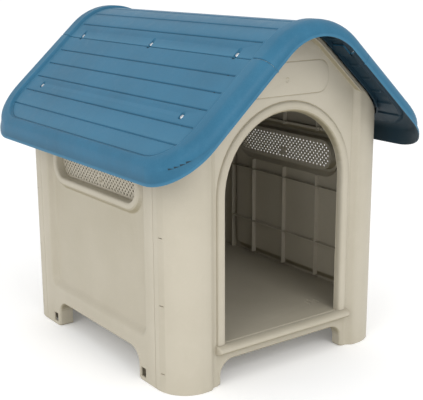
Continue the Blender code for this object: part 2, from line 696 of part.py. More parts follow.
def ridge_cap(name):
    """The piece over the ridge, screwed down along both of its lower edges."""
    cap = roof_piece(name, GAP / 2 - SEAM_RUN, SEAM_RUN - GAP / 2)
    cuts = grooves(name, 0, SEAM_RUN - BOARD_PITCH / 2)
    for bar in list(cuts):
        copy = add(bar.name, bar.data, cutters)
        copy.rotation_euler.z = pi
        cuts.append(copy)
    cuts += [post(name + "_hole", side * SEAM_SCREW_RUN, y, -PAST, PAST, HOLE_RADIUS, 12)
             for side in (-1, 1) for y in (-SEAM_SCREW_Y, 0, SEAM_SCREW_Y)]
    carve(cap, 'DIFFERENCE', cuts)
    smooth(cap)
    return cap


def eave_panel(name):
    """One slope of the roof, made at the right, with the flange that laps under the ridge cap."""
    eave = roof_piece(name, SEAM_RUN + GAP / 2, FAR)
    start, top, low = SEAM_RUN - LAP, -ROOF_WALL - GAP, -2 * ROOF_WALL - GAP
    root = SEAM_RUN + GAP / 2
    back = root + LAP_ROOT
    section = [(root, top), (root, -ROOF_WALL / 2), (back, -ROOF_WALL / 2), (back, low),
               (start, low), (start, top)]
    along = ROOF_LENGTH / 2 - BORDER_WIDTH - WALL
    lap = roof_bar(name + "_lap", section, -along, along)
    boss_foot = low - SEAM_BOSS_DEPTH
    boss = post(name + "_boss", SEAM_SCREW_RUN, 0, boss_foot, top - ROOF_WALL / 2, BOSS_RADIUS)
    carve(lap, 'UNION', [boss])
    carve(eave, 'UNION', [lap])
    cuts = grooves(name, SEAM_RUN + BOARD_PITCH / 2, roof_rings()[-1][2] - BOARD_PITCH / 2)
    cuts.append(post(name + "_pilot", SEAM_SCREW_RUN, 0, boss_foot + GROOVE_DEPTH, 0, HOLE_RADIUS, 12))
    for side in (-1, 1):
        cuts.append(post(name + "_hole", SEAM_SCREW_RUN, side * SEAM_SCREW_Y, -PAST, 0, HOLE_RADIUS, 12))
        cuts.append(post(name + "_eave_hole", EAVE_SCREW_RUN, side * EAVE_SCREW_Y,
                         -PAST, PAST, HOLE_RADIUS, 12))
    carve(eave, 'DIFFERENCE', cuts)
    smooth(eave)
    return eave


# ---- screws ---------------------------------------------------------------------------------

def screw_mesh(name, length):
    """A pan-head screw, turned from its profile: dome, edge, shank, point."""
    rise = GAP
    outline = [(0, rise + HEAD_HEIGHT), (CROWN_RADIUS, rise + HEAD_HEIGHT - CROWN_DROP),
               (HEAD_RADIUS, rise + HEAD_EDGE), (HEAD_RADIUS, rise), (SCREW_RADIUS, rise),
               (SCREW_RADIUS, SCREW_RADIUS - length), (0, -length)]
    mesh = bpy.data.meshes.new(name)
    bm = bmesh.new()
    verts = [bm.verts.new((x, 0, z)) for x, z in outline]
    for a, b in zip(verts, verts[1:]):
        bm.edges.new((a, b))
    bm.to_mesh(mesh)
    bm.free()
    return mesh


def screw(name, run, y, length):
    """A screw driven square into the roof at a place on the skin."""
    piece = add(name, screw_mesh(name, length), kennel)
    lathe = piece.modifiers.new("lathe", 'SCREW')
    lathe.steps = lathe.render_steps = SCREW_STEPS
    lathe.use_merge_vertices = True
    lathe.merge_threshold = 0.00001
    piece.matrix_world = roof_frame(run, y)
    return piece


front = end_panel("front_panel", True)
rear = end_panel("rear_panel", False)
rear.rotation_euler.z = pi
left = side_panel("side_panel_left")
right = turned_copy(left, "side_panel_right")
floor = floor_tray("floor_tray")
for beige in (front, rear, left, right, floor):
    paint(beige, BEIGE, PLASTIC_ROUGHNESS)

cap = ridge_cap("roof_ridge_cap")
eave_right = eave_panel("roof_eave_right")
eave_left = turned_copy(eave_right, "roof_eave_left")
for blue in (cap, eave_right, eave_left):
    paint(blue, BLUE, PLASTIC_ROUGHNESS)

PLACES = (("front", -1), ("middle", 0), ("rear", 1))
for side, side_name in ((-1, "left"), (1, "right")):
    for place, along in PLACES:
        length = SCREW_LENGTH if along else 2 * ROOF_WALL + SEAM_BOSS_DEPTH - SCREW_RADIUS
        driven = [screw("seam_screw_%s_%s" % (side_name, place), side * SEAM_SCREW_RUN,
                        along * SEAM_SCREW_Y, length)]
        if along:
            driven.append(screw("eave_screw_%s_%s" % (side_name, place), side * EAVE_SCREW_RUN,
                                along * EAVE_SCREW_Y, SCREW_LENGTH))
        for fixing in driven:
            paint(fixing, ZINC, ZINC_ROUGHNESS, 1.0)
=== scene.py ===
"""A flat-pack plastic dog kennel: beige snap-together walls on a floor tray, under a blue screwed roof."""
from math import cos, pi, radians, sin, tan
import bmesh
import bpy
import numpy as np
from mathutils import Matrix, Vector
from mathutils.bvhtree import BVHTree
from mathutils.geometry import delaunay_2d_cdt


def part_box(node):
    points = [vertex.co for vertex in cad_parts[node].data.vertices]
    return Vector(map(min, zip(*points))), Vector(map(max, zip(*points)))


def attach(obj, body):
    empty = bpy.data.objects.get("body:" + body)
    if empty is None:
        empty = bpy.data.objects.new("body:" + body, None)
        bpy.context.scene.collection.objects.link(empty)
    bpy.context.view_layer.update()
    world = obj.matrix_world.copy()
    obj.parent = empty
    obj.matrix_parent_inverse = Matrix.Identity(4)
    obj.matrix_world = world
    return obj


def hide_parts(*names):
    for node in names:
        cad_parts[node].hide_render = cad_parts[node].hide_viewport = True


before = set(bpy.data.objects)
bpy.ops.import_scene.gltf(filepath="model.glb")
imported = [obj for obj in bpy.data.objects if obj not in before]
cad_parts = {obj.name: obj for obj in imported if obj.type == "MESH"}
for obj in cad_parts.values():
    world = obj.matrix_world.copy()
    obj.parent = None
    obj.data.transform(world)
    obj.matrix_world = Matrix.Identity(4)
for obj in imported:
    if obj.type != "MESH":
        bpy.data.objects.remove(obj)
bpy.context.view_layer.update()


# ---- The studio ------------------------------------------------------------------------------
# The kennel stands on a plain white floor that runs back out of sight. A broad soft box from the
# left, another above the doorway's side and an even white surround light it, as for a catalogue.

def linear(code):
    """A colour written as sRGB hex, turned to the linear values that shaders use."""
    shares = [int(code[i:i + 2], 16) / 255 for i in (1, 3, 5)]
    return [s / 12.92 if s <= 0.04045 else ((s + 0.055) / 1.055) ** 2.4 for s in shares] + [1]


def add_node(tree, kind, settings=None, inputs=None):
    """A node with its settings, and each input set to a value or linked to another node's output."""
    node = tree.nodes.new(kind)
    for name, value in (settings or {}).items():
        setattr(node, name, value)
    for name, value in (inputs or {}).items():
        if isinstance(value, bpy.types.NodeSocket):
            tree.links.new(value, node.inputs[name])
        else:
            node.inputs[name].default_value = value
    return node


def new_material(name):
    """A material with only a Principled shader, and its node tree."""
    material = bpy.data.materials.new(name)
    material.use_nodes = True
    return material, material.node_tree, material.node_tree.nodes["Principled BSDF"]


scene = bpy.context.scene
scene.view_settings.view_transform = 'Standard'

CAMERA_AZIMUTH, CAMERA_ELEVATION, CAMERA_ROLL = radians(-36.149), radians(14.236), radians(-0.267)
CAMERA_PLACE = Vector((-1.0905, -1.54035, 0.75427))
camera = bpy.data.objects.new("camera", bpy.data.cameras.new("camera"))
scene.collection.objects.link(camera)
camera.data.lens, camera.data.sensor_width = 79.24, 36
camera.data.shift_x, camera.data.shift_y = -0.0013, -0.0043
backward = Vector((sin(CAMERA_AZIMUTH) * cos(CAMERA_ELEVATION),
                   -cos(CAMERA_AZIMUTH) * cos(CAMERA_ELEVATION), sin(CAMERA_ELEVATION)))
across = Vector((cos(CAMERA_AZIMUTH), sin(CAMERA_AZIMUTH), 0))
upward = backward.cross(across)
axes = (across * cos(CAMERA_ROLL) + upward * sin(CAMERA_ROLL),
        upward * cos(CAMERA_ROLL) - across * sin(CAMERA_ROLL), backward)
camera.matrix_world = Matrix.Translation(CAMERA_PLACE) @ Matrix(axes).transposed().to_4x4()
scene.camera = camera

studio = bpy.data.worlds.new("white studio")
studio.use_nodes = True
surround = studio.node_tree.nodes["Background"]
surround.inputs["Color"].default_value = linear("#ffffff")
surround.inputs["Strength"].default_value = 0.95
scene.world = studio


def soft_box(name, place, size, watts, aim=(0, 0, 0.3)):
    """A large square lamp turned towards the kennel."""
    lamp = bpy.data.lights.new(name, 'AREA')
    lamp.size, lamp.energy = size, watts
    box = bpy.data.objects.new(name, lamp)
    box.location = place
    box.rotation_euler = (Vector(aim) - Vector(place)).to_track_quat('-Z', 'Y').to_euler()
    scene.collection.objects.link(box)


soft_box("left soft box", place=(-2.8, -1.2, 1.9), size=2.0, watts=22)
soft_box("front soft box", place=(-0.3, -3.0, 2.3), size=1.4, watts=26)

FLOOR_REACH, FLOOR_LEVEL = 30.0, -0.0005
floor_sheet = bpy.data.meshes.new("studio_floor")
floor_sheet.from_pydata([(u * FLOOR_REACH, v * FLOOR_REACH, FLOOR_LEVEL) for u, v in
                         ((-1, -1), (1, -1), (1, 1), (-1, 1))], [], [(0, 1, 2, 3)])
floor_object = bpy.data.objects.new("studio_floor", floor_sheet)
scene.collection.objects.link(floor_object)
# Matt white board: nearly as bright as the surround, so its far edge can't be seen.
white_board, tree, shader = new_material("matt white board")
shader.inputs["Roughness"].default_value = 0.9
shader.inputs["Base Color"].default_value = linear("#fbfbfb")
shader.inputs["Specular IOR Level"].default_value = 0.1
shader.inputs["Emission Color"].default_value = linear("#ffffff")
shader.inputs["Emission Strength"].default_value = 0.12
floor_sheet.materials.append(white_board)


# ---- Side panels -----------------------------------------------------------------------------
# Each side wall is one moulding of beige polypropylene, 3 mm thick: a recessed field, a raised
# surround for the vent, two feet, and slots that snap over the end panels' tongues.

def moulded_plastic(name, colour, pale, dark, roughness, specular):
    """Injection-moulded polypropylene: even colour, satin, with the fine grain of a spark-eroded mould, and
    painted shade on its undersides and in its inside corners.
    """
    material, tree, shader = new_material(name)
    place = add_node(tree, 'ShaderNodeTexCoord').outputs["Object"]
    # The shade drifts a little over some 10 cm, as the plastic filled the mould.
    cloudy = add_node(tree, 'ShaderNodeTexNoise', None,
                      {"Vector": place, "Scale": 9.0, "Detail": 3.0, "Roughness": 0.55}).outputs["Fac"]
    # Flow marks and handling scuffs, about 2 cm apart.
    scuffs = add_node(tree, 'ShaderNodeTexNoise', None,
                      {"Vector": place, "Scale": 55.0, "Detail": 5.0, "Roughness": 0.7}).outputs["Fac"]
    # The mould's grain is about 0.3 mm. It is drawn at 2 mm, so that it shows.
    grain = add_node(tree, 'ShaderNodeTexNoise', None,
                     {"Vector": place, "Scale": 480.0, "Detail": 2.0, "Roughness": 0.6}).outputs["Fac"]
    edge_wear_and_painted_shading = add_node(tree, 'ShaderNodeAttribute', {"attribute_name": "edge"}).outputs["Fac"]

    def mixed(share, low, high, base, other, blend='MIX', most=1.0):
        """A colour that goes over to another as a share goes from low to high."""
        reach = add_node(tree, 'ShaderNodeMapRange', None,
                         {"Value": share, "From Min": low, "From Max": high, "To Min": 0.0, "To Max": most})
        mix = add_node(tree, 'ShaderNodeMix', {"data_type": 'RGBA', "blend_type": blend},
                       {0: reach.outputs["Result"], 6: base, 7: other})
        return mix.outputs[2]

    tint = mixed(cloudy, 0.35, 0.75, linear(colour), linear(dark), most=0.20)
    tint = mixed(scuffs, 0.50, 0.80, tint, linear(pale), most=0.22)
    tint = mixed(grain, 0.40, 0.70, tint, linear(pale), most=0.10)
    # Handled edges rub pale, which also stands as a painted highlight along crests; inside corners are
    # darkened, partly as dust and partly as painted shade.
    tint = mixed(edge_wear_and_painted_shading, 0.05, 0.60, tint, linear(pale), most=0.55)
    tint = mixed(edge_wear_and_painted_shading, -0.05, -0.70, tint, linear(dark), most=0.75)
    # Painted shade: faces that look down, and on a roof everything below its skin, are darkened as if in the
    # shade under them.
    under = add_node(tree, 'ShaderNodeAttribute', {"attribute_name": "under"}).outputs["Fac"]
    tint = mixed(under, 0.15, 0.60, tint, linear(dark), most=0.95)
    # The lowest few centimetres are a little darker, with a blotchy upper edge.
    height = add_node(tree, 'ShaderNodeSeparateXYZ', None, {0: place}).outputs["Z"]
    near_ground = add_node(tree, 'ShaderNodeMath', {"operation": 'MULTIPLY_ADD'},
                     {0: scuffs, 1: 0.08, 2: height}).outputs[0]
    tint = mixed(near_ground, 0.085, 0.03, tint, linear(dark), most=0.08)
    gloss = add_node(tree, 'ShaderNodeMapRange', None,
                     {"Value": scuffs, "From Min": 0.3, "From Max": 0.8,
                      "To Min": roughness - 0.05, "To Max": roughness + 0.12}).outputs["Result"]
    relief = add_node(tree, 'ShaderNodeMath', {"operation": 'MULTIPLY_ADD'},
                      {0: cloudy, 1: 1.5, 2: grain}).outputs[0]
    bump = add_node(tree, 'ShaderNodeBump', None,
                    {"Height": relief, "Strength": 0.22, "Distance": 0.0006}).outputs["Normal"]
    for socket, value in (("Base Color", tint), ("Roughness", gloss), ("Normal", bump)):
        tree.links.new(value, shader.inputs[socket])
    shader.inputs["IOR"].default_value = 1.49
    shader.inputs["Specular IOR Level"].default_value = specular
    return material


# Beige polypropylene, satin, with a fine grain that breaks up the light.
beige = moulded_plastic("moulded beige polypropylene", colour="#b2ab9a", pale="#c2bbab", dark="#8f866d",
                        roughness=0.50, specular=0.4)


def rounded_box(half_u, half_v, radius, middle=(0, 0), steps=8):
    """A rectangle with round corners as a closed outline, counter-clockwise."""
    u, v = half_u - radius, half_v - radius
    turns = [pi / 2 * i / steps for i in range(steps + 1)]
    return np.array([(middle[0] + a * u + radius * cos(t + turn), middle[1] + b * v + radius * sin(t + turn))
                     for a, b, turn in ((1, -1, -pi / 2), (1, 1, 0), (-1, 1, pi / 2), (-1, -1, pi))
                     for t in turns])


def grown(loop, distance):
    """A closed outline moved outwards by a distance."""
    sides = [loop - np.roll(loop, 1, 0), np.roll(loop, -1, 0) - loop]
    out = sum(np.stack((d[:, 1], -d[:, 0]), 1) / np.linalg.norm(d, axis=1)[:, None] for d in sides)
    return loop + out * (2 * distance / (out ** 2).sum(1))[:, None]


def away(points, loop):
    """Distances of points from a closed outline, negative inside it."""
    best, inside = np.full(len(points), np.inf), np.zeros(len(points), bool)
    for a, b in zip(loop, np.roll(loop, -1, 0)):
        side = b - a
        along = np.clip((points - a) @ side / (side @ side), 0, 1)
        best = np.minimum(best, np.linalg.norm(points - a - along[:, None] * side, axis=1))
        crossed = (a[1] > points[:, 1]) != (b[1] > points[:, 1])
        inside ^= crossed & (points[:, 0] < a[0] + (points[:, 1] - a[1]) * side[0] / (side[1] or 1))
    return np.where(inside, -best, best)


def soft_step(near, far, start, end, steps=6):
    """Distances and heights across a step with round edges."""
    share = np.linspace(0, 1, steps + 1)
    return near + (far - near) * share, start + (end - start) * (1 - np.cos(pi * share)) / 2


def along_edges(loop, *profiles):
    """Outlines beside a loop, at each distance of some profiles."""
    return [grown(loop, d) for profile in profiles for d in profile[0]]


def moulding(outlines, holes, lines, front, back):
    """A moulded sheet drawn flat: front and back skins inside the outlines, and edges between them.

    The surface may bend along the lines. Without a back, only the front skin is made.
    """
    points, edges = [], []
    for loop in [*outlines, *holes, *lines]:
        first = len(points)
        points.extend(Vector(p) for p in loop)
        edges.extend((first + i, first + (i + 1) % len(loop)) for i in range(len(loop)))
    flat, _, faces, *_ = delaunay_2d_cdt(points, edges, [], 0, 1e-6)
    flat, faces = np.array([p[:] for p in flat]), np.array(faces)
    corners = flat[faces]
    one, two = corners[:, 1] - corners[:, 0], corners[:, 2] - corners[:, 0]
    area = one[:, 0] * two[:, 1] - one[:, 1] * two[:, 0]
    faces[area < 0] = faces[area < 0][:, ::-1]
    middle = corners.mean(1)
    kept = np.abs(area) > 1e-12
    for loop in outlines:
        kept &= away(middle, loop) < 0
    for loop in holes:
        kept &= away(middle, loop) > 0
    used, faces = np.unique(faces[kept], return_inverse=True)
    flat, faces = flat[used], faces.reshape(-1, 3)
    mesh = bpy.data.meshes.new("moulding")
    if back is None:
        mesh.from_pydata(np.c_[flat, front(flat)].tolist(), [], faces.tolist())
        return mesh
    walked = {(a, b) for face in faces.tolist() for a, b in zip(face, face[1:] + face[:1])}
    rim = sorted((a, b) for a, b in walked if (b, a) not in walked)
    count = len(flat)
    skins = np.vstack([np.c_[flat, front(flat)], np.c_[flat, back(flat)]])
    mesh.from_pydata(skins.tolist(), [], faces.tolist() + (faces[:, ::-1] + count).tolist()
                     + [(a, a + count, b + count, b) for a, b in rim])
    return mesh


def applied(piece):
    """Turn what an object's modifiers make into its plain mesh."""
    bpy.context.view_layer.update()
    mesh = bpy.data.meshes.new_from_object(piece.evaluated_get(bpy.context.evaluated_depsgraph_get()))
    piece.modifiers.clear()
    piece.data = mesh


def hold(name, mesh):
    """An object for a mesh, in the scene."""
    piece = bpy.data.objects.new(name, mesh)
    scene.collection.objects.link(piece)
    return piece


def plain_mesh(name, work):
    """The mesh of a finished bmesh."""
    mesh = bpy.data.meshes.new(name)
    work.to_mesh(mesh)
    work.free()
    return mesh


def joined(name, meshes):
    """Several meshes as one."""
    whole = bmesh.new()
    for mesh in meshes:
        whole.from_mesh(mesh)
    return plain_mesh(name, whole)


# Edges that turn by more than SHARP_FROM stay crisp. Rubbing and dust, with the painted highlight on crests
# and the painted shade in inside corners, reach this second distance from an edge.
SHARP_FROM, RUB_AND_PAINTED_SHADE_REACH, FLAT_FACES_WEIGH = radians(52), 0.004, 80


def finish_piece(name, meshes, material, slot, *nodes, roof=False):
    """Smooth a finished mesh, mark its edges, mark its undersides for painted shade, and let it stand for its
    CAD nodes.
    """
    piece = hold(name, joined(name, meshes))
    piece.data.materials.clear()
    piece.data.materials.append(material)
    piece.data.shade_smooth()
    piece.data.set_sharp_from_angle(angle=SHARP_FROM)
    weighted = piece.modifiers.new("flat faces stay flat", 'WEIGHTED_NORMAL')
    weighted.mode, weighted.weight, weighted.keep_sharp = 'FACE_AREA', FLAT_FACES_WEIGH, True
    applied(piece)
    mesh = piece.data
    size = len(mesh.vertices)
    where, normal = np.empty(size * 3), np.empty(size * 3)
    mesh.vertices.foreach_get("co", where)
    mesh.vertices.foreach_get("normal", normal)
    where, normal = where.reshape(-1, 3), normal.reshape(-1, 3)
    ends = np.empty(len(mesh.edges) * 2, int)
    mesh.edges.foreach_get("vertices", ends)
    bend, met = np.zeros(size), np.zeros(size)
    for a, b in (ends.reshape(-1, 2).T, ends.reshape(-1, 2)[:, ::-1].T):
        side = where[b] - where[a]
        long = np.linalg.norm(side, axis=1) + 1e-9
        # Only near neighbours tell how sharply the surface turns.
        weight = 1 / (1 + (long / RUB_AND_PAINTED_SHADE_REACH) ** 2)
        np.add.at(bend, a, -weight * (side * normal[a]).sum(1) / long)
        np.add.at(met, a, weight)
    # How sharply the surface turns at each point: pale wear and painted highlight on outer edges, dust and
    # painted shade in inside corners.
    mark = mesh.attributes.new("edge", 'FLOAT', 'POINT')
    mark.data.foreach_set("value", (bend / np.maximum(met, 1e-6)).astype(np.float32))
    facing = np.empty(len(mesh.polygons) * 3)
    mesh.polygons.foreach_get("normal", facing)
    # Painted shade: faces that look downwards are darkened the more, the more they face down.
    under = np.maximum(-facing[2::3], 0)
    if roof:
        # Painted shade: whatever stands below a roof's skin is marked as under it, upright faces too.
        skin = BVHTree.FromPolygons(where.tolist(), [face.vertices[:] for face in mesh.polygons])
        for face in mesh.polygons:
            if skin.ray_cast(face.center + face.normal * 0.0002, (0, 0, 1))[0]:
                under[face.index] = 1
    mark = mesh.attributes.new("under", 'FLOAT', 'FACE')
    mark.data.foreach_set("value", under.astype(np.float32))
    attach(piece, "root")
    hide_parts(*nodes)


def stand(turn, out):
    """Stands a flat drawing upright: u across, v up, its height out from the kennel at a turn."""
    upright = Matrix(((1, 0, 0, 0), (0, 0, -1, -out), (0, 1, 0, 0), (0, 0, 0, 1)))
    return Matrix.Rotation(turn, 4, 'Z') @ upright


WALL = 0.003
SIDE_OUT = -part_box("side_panel_left")[0].x
SIDE_TOP, SIDE_SEAM = 0.478, 0.2168
# The recessed field runs up out of sight, and near its top the whole wall leans in under the roof.
SIDE_FIELD, FIELD_FLOOR, FIELD_HALF_HEIGHT, FIELD_CORNER = 0.186, 0.089, 0.25, 0.020
SIDE_RECESS = 0.011
LEAN_FROM, LEAN_HEIGHT, LEAN = 0.461, 0.0122, 0.9
VENT_MIDDLE, VENT_HALF_LENGTH, VENT_HALF_HEIGHT, VENT_CORNER = (0, 0.360), 0.1515, 0.029, 0.0285
GRILLE_DEPTH, GRILLE_WALL = 0.0205, 0.0025
# Lines and cuts start this far below the ground, clear of every outline.
BELOW = -0.02


def arch_between_feet(half, top, fillet, flare):
    """The cut between two feet: round at its top corners and at the feet's lower edges."""
    turns = [pi / 2 * i / 8 for i in range(9)]
    right = [(half + flare, BELOW), (half + flare, -0.0001)]
    right += [(half + flare * (1 - sin(t)), flare * (1 - cos(t))) for t in turns]
    right += [(half - fillet * (1 - cos(t)), top - fillet * (1 - sin(t))) for t in turns]
    return np.array(right + [(-u, v) for u, v in right[::-1]])


# Across an arch's edge: its outer corner is rounded, and behind it a flange runs 30 mm inwards.
ARCH_CORNER = ((0, 0.0006, 0.0016, 0.003, 0.005), (-0.0045, -0.0028, -0.0014, -0.0004, 0))
ARCH_FLANGE = ((0, 0.0026, 0.0034), (-0.030, -0.030, -0.003))
EDGE_CORNER = ((0, 0.0003, 0.0008, 0.0016), (-0.0013, -0.0007, -0.0002, 0))

side_field = rounded_box(SIDE_FIELD, FIELD_HALF_HEIGHT, FIELD_CORNER, (0, FIELD_FLOOR + FIELD_HALF_HEIGHT))
side_arch = arch_between_feet(half=0.158, top=0.055, fillet=0.028, flare=0.004)
side_outline = np.array([(-SIDE_SEAM, 0), (SIDE_SEAM, 0), (SIDE_SEAM, SIDE_TOP), (-SIDE_SEAM, SIDE_TOP)])
vent_edge = rounded_box(VENT_HALF_LENGTH, VENT_HALF_HEIGHT, VENT_CORNER, VENT_MIDDLE, 12)
FIELD_STEP = soft_step(-0.014, 0.004, -SIDE_RECESS, 0, 8)
FIELD_STEP_BACK = soft_step(-0.011, 0.007, -SIDE_RECESS, 0, 8)
# Heights over the field across the vent's surround, from the grille out to the field.
VENT_RIM = ((-0.0022, -0.0014, -0.0004, 0.0006, 0.0022, 0.005, 0.0115, 0.0150, 0.0182, 0.0205, 0.0220),
            (-0.0095, -0.0085, 0.0030, 0.0062, 0.0079, 0.0085, 0.0082, 0.0064, 0.0030, 0.0007, 0))
VENT_RIM_BACK = ((0.0008, 0.0030, 0.0038, 0.0046, 0.0110, 0.0165, 0.0185, 0.0195),
                 (-0.0090, -0.0088, 0.0030, 0.0085, 0.0083, 0.0030, 0.0008, 0))


def side_front(points):
    """Height of a side panel's outside over its drawing: field, vent rim, arch, edges and top."""
    rise = np.interp(away(points, side_field), *FIELD_STEP)
    rise = rise + np.interp(away(points, vent_edge), *VENT_RIM)
    rise = rise + np.interp(away(points, side_arch), *ARCH_CORNER)
    rise = rise + np.interp(SIDE_SEAM - np.abs(points[:, 0]), *EDGE_CORNER)
    return np.minimum(rise, (LEAN_FROM - points[:, 1]) * LEAN)


def side_back(points):
    """Height of a side panel's inside."""
    rise = np.interp(away(points, side_field), *FIELD_STEP_BACK)
    rise = rise + np.interp(away(points, vent_edge), *VENT_RIM_BACK) - WALL
    rise = np.minimum(rise, np.interp(away(points, side_arch), *ARCH_FLANGE))
    return np.minimum(rise, (LEAN_FROM - points[:, 1]) * LEAN - WALL)


# The perforations sit on a square lattice turned by 45 degrees; the grille is cut along its cells.
HOLE_PITCH, HOLE_WIDTH = 0.011, 0.0048
GRILLE_STRAIGHT, GRILLE_ROUND = 0.1235, 0.0254
GATE, GATE_PLAIN = (0, -2), 0.0085
cells = [(i, j) for i in range(-27, 28) for j in range(-4, 5) if (i + j) % 2 == 0
         and np.hypot(max(abs(i) * HOLE_PITCH / 2 - GRILLE_STRAIGHT, 0), j * HOLE_PITCH / 2) < GRILLE_ROUND]
sides = {pair for i, j in cells for ring in [((i + 1, j), (i, j + 1), (i - 1, j), (i, j - 1))]
         for pair in zip(ring, ring[1:] + ring[:1])}
onward = {a: b for a, b in sides if (b, a) not in sides}
corner = min(onward)
grille_edge = [corner]
while onward[grille_edge[-1]] != corner:
    grille_edge.append(onward[grille_edge[-1]])
grille_edge = np.array(grille_edge) * HOLE_PITCH / 2 + VENT_MIDDLE

# The slots low in the feet, where the end panels' tongues snap in.
SLOT_AT, SLOT_HALF, SLOT_BOTTOM, SLOT_TOP, SLOT_CORNER = 0.1757, 0.008, 0.0074, 0.0257, 0.001
slots = [rounded_box(SLOT_HALF, (SLOT_TOP - SLOT_BOTTOM) / 2, SLOT_CORNER,
                     (side * SLOT_AT, (SLOT_TOP + SLOT_BOTTOM) / 2), 2) for side in (-1, 1)]
seam_lines = [np.array([(side * (SIDE_SEAM - d), BELOW), (side * (SIDE_SEAM - d), SIDE_TOP)])
              for side in (-1, 1) for d in EDGE_CORNER[0][1:]]
lean_lines = [np.array([(-SIDE_SEAM, v), (SIDE_SEAM, v)]) for v in (LEAN_FROM, LEAN_FROM + LEAN_HEIGHT)]
side_lines = along_edges(side_field, FIELD_STEP, FIELD_STEP_BACK)
side_lines += along_edges(vent_edge, VENT_RIM, VENT_RIM_BACK)
side_lines += along_edges(side_arch, ARCH_CORNER, ARCH_FLANGE) + seam_lines + lean_lines
side_sheet = moulding([side_outline], [side_arch, grille_edge] + slots, side_lines, side_front, side_back)


def sockets(tree, ins, material="Finish"):
    """Named inputs and the result of a geometry tree, with its input and output nodes."""
    for name, kind in [("Shape", 'Geometry'), *ins, (material, 'Material')]:
        tree.interface.new_socket(name, in_out='INPUT', socket_type='NodeSocket' + kind)
    tree.interface.new_socket("Made", in_out='OUTPUT', socket_type='NodeSocketGeometry')
    return tree.nodes.new('NodeGroupInput').outputs, tree.nodes.new('NodeGroupOutput')


def close_tree(tree, given, result, shape):
    """End a geometry tree: real faces, with their material."""
    real = add_node(tree, 'GeometryNodeRealizeInstances', None, {"Geometry": shape}).outputs[0]
    painted = add_node(tree, 'GeometryNodeSetMaterial', None, {"Geometry": real, "Material": given["Finish"]})
    tree.links.new(painted.outputs[0], result.inputs[0])


def grown_by(tree, mesh, material, **values):
    """The plain mesh that a geometry tree makes of another mesh, with some of its inputs set."""
    piece = hold("in_work", mesh)
    maker = piece.modifiers.new(tree.name, 'NODES')
    maker.node_group = tree
    for socket in tree.interface.items_tree:
        if socket.name.replace(" ", "_") in values:
            maker[socket.identifier] = values[socket.name.replace(" ", "_")]
        elif socket.name == "Finish":
            maker[socket.identifier] = material
    applied(piece)
    made = piece.data
    bpy.data.objects.remove(piece)
    return made


def worked_out(tree, steps):
    """The results of named steps of arithmetic, each on numbers, sockets or the names of earlier steps."""
    made = {}
    for name, (operation, *values) in steps.items():
        inputs = {i: made[value] if isinstance(value, str) else value for i, value in enumerate(values)}
        made[name] = add_node(tree, 'ShaderNodeMath', {"operation": operation}, inputs).outputs[0]
    return made


# One cell of the grille at each point: a square turned by 45 degrees, with a round hole or plain.
perforate = bpy.data.node_groups.new("perforated grille", 'GeometryNodeTree')
given, result = sockets(perforate, [("Pitch", 'Float'), ("Hole width", 'Float'), ("Thickness", 'Float'),
                                    ("Gate", 'Vector'), ("Plain within", 'Float')])
cell = worked_out(perforate, {"half pitch": ('MULTIPLY', given["Pitch"], 0.5),
                              "hole radius": ('MULTIPLY', given["Hole width"], 0.5),
                              "down": ('MULTIPLY', given["Thickness"], -1)})
cell_edge = add_node(perforate, 'GeometryNodeCurvePrimitiveCircle', None,
                     {"Resolution": 4, "Radius": cell["half pitch"]})
hole_edge = add_node(perforate, 'GeometryNodeCurvePrimitiveCircle', None,
                     {"Resolution": 10, "Radius": cell["hole radius"]})
both = add_node(perforate, 'GeometryNodeJoinGeometry')
for outline in (cell_edge, hole_edge):
    perforate.links.new(outline.outputs[0], both.inputs[0])
downward = add_node(perforate, 'ShaderNodeCombineXYZ', None, {"Z": cell["down"]}).outputs[0]
cell_kinds = []
for outline in (both, cell_edge):
    face = add_node(perforate, 'GeometryNodeFillCurve', None, {"Curve": outline.outputs[0]}).outputs[0]
    turned = add_node(perforate, 'GeometryNodeFlipFaces', None, {"Mesh": face}).outputs[0]
    deep = add_node(perforate, 'GeometryNodeExtrudeMesh', None,
                    {"Mesh": turned, "Offset": downward, "Individual": False}).outputs[0]
    closed = add_node(perforate, 'GeometryNodeJoinGeometry')
    for part in (face, deep):
        perforate.links.new(part, closed.inputs[0])
    cell_kinds.append(add_node(perforate, 'GeometryNodeMergeByDistance', None,
                               {"Geometry": closed.outputs[0], "Distance": 0.00001}).outputs[0])
here = add_node(perforate, 'GeometryNodeInputPosition').outputs[0]
from_gate = add_node(perforate, 'ShaderNodeVectorMath', {"operation": 'DISTANCE'},
                     {0: here, 1: given["Gate"]}).outputs["Value"]
choice = worked_out(perforate, {"plain": ('LESS_THAN', from_gate, given["Plain within"]),
                                "holed": ('SUBTRACT', 1, "plain")})
placed = add_node(perforate, 'GeometryNodeJoinGeometry')
for kind, chosen in zip(cell_kinds, ("holed", "plain")):
    put = add_node(perforate, 'GeometryNodeInstanceOnPoints', None,
                   {"Points": given["Shape"], "Selection": choice[chosen], "Instance": kind})
    perforate.links.new(put.outputs[0], placed.inputs[0])
close_tree(perforate, given, result, placed.outputs[0])

cell_points = bpy.data.meshes.new("cell_points")
cell_points.from_pydata([(VENT_MIDDLE[0] + i * HOLE_PITCH / 2, VENT_MIDDLE[1] + j * HOLE_PITCH / 2,
                          -GRILLE_DEPTH) for i, j in cells], [], [])
gate_place = (VENT_MIDDLE[0], VENT_MIDDLE[1] + GATE[1] * HOLE_PITCH / 2)
grille = grown_by(perforate, cell_points, beige, Pitch=HOLE_PITCH, Hole_width=HOLE_WIDTH,
                  Thickness=GRILLE_WALL, Gate=(*gate_place, -GRILLE_DEPTH), Plain_within=GATE_PLAIN)
